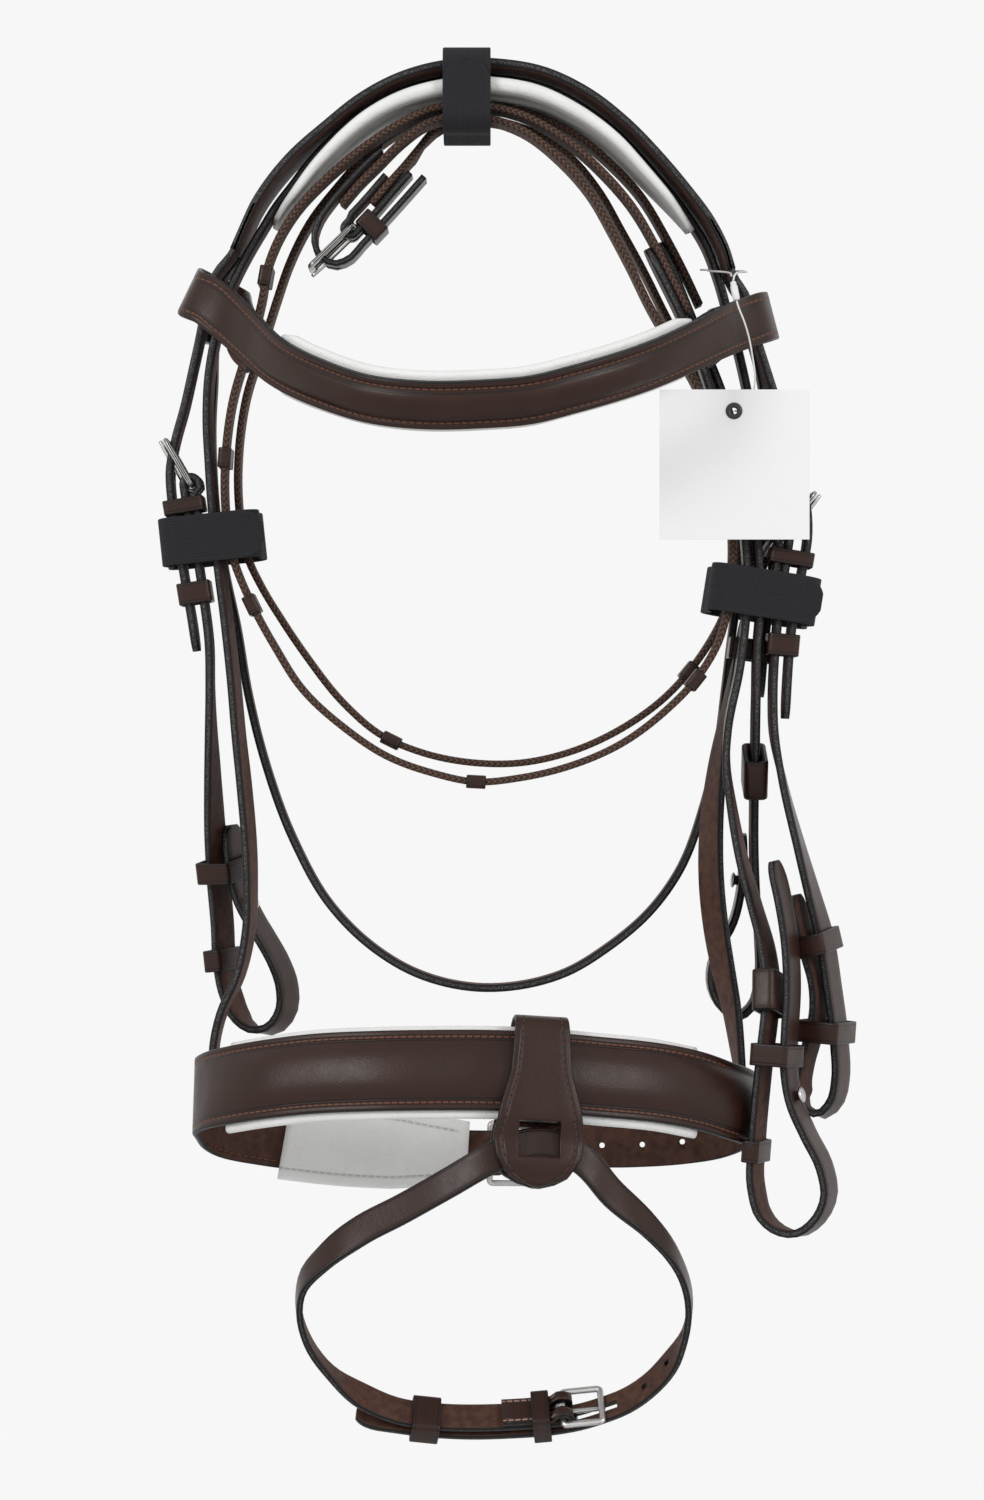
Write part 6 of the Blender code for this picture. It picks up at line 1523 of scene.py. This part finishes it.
# %% Keepers on the bit loops, the flash and the reins
for name, first, second, pixel in (("cheek_left_upper", LEFT_UP, LEFT_DOWN, (219, 872)),
                                   ("cheek_left_lower", LEFT_DOWN, LEFT_DOWN, (214, 961)),
                                   ("cheek_right_upper", RIGHT_UP, RIGHT_DOWN, (806, 946)),
                                   ("cheek_right_lower", RIGHT_UP, RIGHT_DOWN, (820, 1034))):
    keeper(f"{name}_keeper", first, second, pixel, slack=EASY)
keeper("rein_upper_keeper", END_DOWN, END_UP, (772, 1056), REIN_WIDTH)
keeper("rein_lower_keeper", END_DOWN, END_DOWN, (752, 1152), REIN_WIDTH)
keeper("flash_fixed_keeper", FLASH_FAR, FLASH_NEAR, (541, 1414), FLASH_WIDTH, FLASH_LEATHER, MIDDLE,
       SHORT_KEEPER, beyond=FLASH_LEATHER + 2 * SEAT, body="flash")
keeper("flash_sliding_keeper", FLASH_NEAR, FLASH_FAR, (427, 1408), FLASH_WIDTH, FLASH_LEATHER, MIDDLE,
       0.012, body="flash_slider")
MARTINGALE_SIZES = {"length": 0.018, "wall": 0.0026, "slack": 0.001, "width": REIN_WIDTH}
keeper("martingale_stop_back", REIN_END_BACK_LINE, REIN_END_BACK_LINE, (756, 779), **MARTINGALE_SIZES)
keeper("martingale_stop_front", END_DOWN, END_DOWN, (764, 990), **MARTINGALE_SIZES)
keeper("rein_hand_keeper", HAND_CHAPE_FLAT, last_part(HAND_BILLET_LINE, 0.036), (370, 223), REIN_WIDTH,
       HAND_LEATHER, length=0.008)
print("keepers and stops: 11")

# %% Leather stops along the webs
STOP_LENGTH = 0.0085
STOP_CORNER = 0.0012
STOPS = (("rein_web_front", REIN_FRONT_LINE, ((264, 275), (236, 458), (252, 604), (476, 782), (696, 680))),
         ("rein_web_back", REIN_BACK_LINE, ((372, 150), (391, 740), (690, 672))))
for node_name, line, spots in STOPS:
    for number, spot in enumerate(spots):
        station = between(line, *spot)
        band(f"{node_name}_stop_{number}", station.across(REIN_WIDTH / 2), station,
             (REIN_WIDTH + KEEPER_WALL) / 2, (WEB + KEEPER_WALL) / 2, STOP_LENGTH, KEEPER_WALL,
             nodes=(node_name,), corner=STOP_CORNER)
print("stops:", sum(len(spots) for node_name, line, spots in STOPS))

# %% [markdown]
# ## Studs
# The bit loops close over small steel studs. A stud is round, so half of its outline is spun round
# its middle.

# %% Hook studs
STUD_RADIUS = 0.0035
STUD_HEIGHT = 0.0036
STUD_PROFILE = (
    (0.0, 0.0), (0.62, 0.0), (0.62, 0.45), (0.8, 0.52), (1.0, 0.68), (0.96, 0.84), (0.7, 0.97), (0.0, 1.02))


def spun(name, points, foot, axis, aside, steps=24):
    """A mesh spun once round its axis from points of (radius, height) in metres."""
    bm = bmesh.new()
    ring = [bm.verts.new(foot + aside * radius + axis * height) for radius, height in points]
    edges = [bm.edges.new(pair) for pair in zip(ring, ring[1:])]
    bmesh.ops.spin(bm, geom=ring + edges, cent=foot, axis=axis, angle=FULL_TURN, steps=steps,
                   use_merge=True)
    bmesh.ops.remove_doubles(bm, verts=bm.verts, dist=WELD)
    bmesh.ops.recalc_face_normals(bm, faces=bm.faces)
    for face in bm.faces:
        face.smooth = True
    return to_mesh(bm, name)


for name, line, pixel, side in (("cheek_left_stud", LEFT_UP, (240, 908), 1),
                                ("rein_back_stud", last_part(REIN_END_BACK_LINE, 0.075), (742, 884), 1),
                                ("rein_front_stud", END_UP, (788, 1100), -1)):
    station = between(line, *pixel)
    foot = station.across(REIN_WIDTH / 2) + station.face * (side * (LEATHER / 2 - SEAT))
    sizes = [(radius * STUD_RADIUS, height * STUD_HEIGHT) for radius, height in STUD_PROFILE]
    fit(name, spun(name, sizes, foot, station.face * side, station.width), STEEL_FINISH, slot="steel")
print("studs: 3")

# %% [markdown]
# ## Ties
# Each tie is a short length of tape, wrapped once round the bundle, with its end lapped on the front.

# %% The three ties
TIE_WALL = 0.0018
TIE_WIDTH = 0.0208
TIE_BEND = 0.0025
TIE_TAB = 0.004
TIE_STEP = 0.0018
TIE_CORNER = 0.0006
TIE_ROOM = LOOSE + TIE_WALL / 2
BUNDLE_FRONT = FRONT_LANE - TIE_ROOM
BUNDLE_BACK = BACK_LANE + CHEEK_WIDTH + TIE_ROOM
DEEP_BUNDLE_BACK = DEEP_LANE + THROAT_WIDTH + TIE_ROOM
TOP_TIE_FRONT = -CROWN_PAD_WIDTH / 2 - TIE_ROOM


def tie(name, start, along, wide, long, deep_to, tab=TIE_TAB):
    """A tape from its front start corner, once round and lapped over its own start."""
    r, lap = TIE_BEND, TIE_WALL + SEAT
    spots = ((r * 1.6, 0.0), (long * 0.5, 0.0), (long - r, 0.0), (long, r), (long, deep_to * 0.5),
             (long, deep_to - r), (long - r, deep_to), (long * 0.5, deep_to), (r, deep_to),
             (0.0, deep_to - r), (0.0, deep_to * 0.5), (0.0, r - lap), (r, -lap), (long * 0.25, -lap),
             (long / 2, -lap), (long * 0.75, -lap), (long + tab, -lap))
    controls = [np.array([*(start + along * a + BACKWARD * b), *wide]) for a, b in spots]
    strap(name, stations(controls, step=TIE_STEP, tips=POINTED), TIE_WIDTH, TIE_WALL, TAPE_FINISH,
          slot="tie", side=MIDDLE, tips=POINTED, corner=TIE_CORNER, nodes=(name.replace("_tape", ""),))


for hand, pixel, tilt, long, back in (("left", (165, 542), 6, 0.0392, BUNDLE_BACK),
                                      ("right", (718, 586), -9, 0.0415, DEEP_BUNDLE_BACK)):
    lean, upright = math.sin(math.radians(tilt)), math.cos(math.radians(tilt))
    tie(f"{hand}_tie_tape", place(*pixel, BUNDLE_FRONT), Vector((upright, 0, lean)),
        Vector((-lean, 0, upright)), long, back - BUNDLE_FRONT)
tie("top_tie_tape", Vector((0, TOP_TIE_FRONT, TIE_WALL / 2)), -DOWNWARD, RIGHTWARD, 0.0315,
    -2 * TOP_TIE_FRONT, tab=-TIE_TAB)
print("ties: 3")

# %% [markdown]
# ## The blank tag
# The card stays as the packed solid, with a better finish. Its eyelet is spun, and the plastic loop
# that holds the string is a thin rod with a small lock.

# %% The tag's eyelet, loop and lock
EYELET = place(734, 411, -0.031)
EYELET_RIM = (
    (0.0014, -0.0006), (0.0019, -0.001), (0.0029, -0.001), (0.0036, -0.0006), (0.0022, -0.0004),
    (0.0022, 0.0004), (0.0036, 0.0006), (0.0029, 0.001), (0.0019, 0.001), (0.0014, 0.0006),
    (0.0014, -0.0006))
LOCK_TOP, LOCK_FOOT = (733, 282, -0.0405), (736.5, 300, -0.0405)
LOOP_STEP = 0.0009
LOOP_GUIDE = (0.0, 0.3, 1.0)
LOOP_POINTS = (
    (733.5, 280, -0.0403), (734, 277, -0.0395), (735, 275, -0.034), (737, 273, -0.026), (741, 272, -0.0215),
    (745, 272, -0.018), (742, 272, 0.0), (740, 271, 0.0185), (736, 271, 0.0193), (709, 270, 0.0193),
    (704.5, 270, 0.018), (707, 270, 0.0), (710, 271, -0.012), (724, 272, -0.0205), (730, 273, -0.026),
    (731, 275, -0.034), (731.5, 276, -0.0375))
FASTENER = {"finish": PLASTIC_FINISH, "slot": "string", "nodes": ("tag_fastener",)}
eyelet = fit("eyelet_ring", spun("eyelet_ring", EYELET_RIM, EYELET, BACKWARD, RIGHTWARD), LACQUER_FINISH,
             "tag", "string", ("tag_eyelet",))
loop_controls = [np.array([*place(*point), *LOOP_GUIDE]) for point in (LOCK_TOP, *LOOP_POINTS)]
strap("fastener_loop", stations(loop_controls, step=LOOP_STEP), 2 * STRING_RADIUS, 2 * STRING_RADIUS,
      side=MIDDLE, corner=STRING_RADIUS * 0.8, **FASTENER)
down = place(*LOCK_FOOT) - place(*LOCK_TOP)
tall = down.length
LOCK_PROFILE = ((0.0, -0.0003), (0.0009, -0.0002), (0.0013, 0.0002), (0.0013, tall * 0.2),
                (0.0016, tall * 0.24), (0.0016, tall * 0.9), (0.0013, tall), (0.0, tall + 0.0001))
fit("fastener_lock", spun("fastener_lock", LOCK_PROFILE, place(*LOCK_TOP), down.normalized(), BACKWARD),
    **FASTENER)
card = frame["nodes"]["tag_card"]
card.data.materials.clear()
card.data.materials.append(CARD_FINISH)
tuple(place(*STRING_POINTS[0]))
print("tag done")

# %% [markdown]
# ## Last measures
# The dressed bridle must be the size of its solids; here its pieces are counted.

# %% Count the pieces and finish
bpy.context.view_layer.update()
print("pieces:", sum(1 for piece in bpy.data.objects if piece.type in ("MESH", "CURVE")))
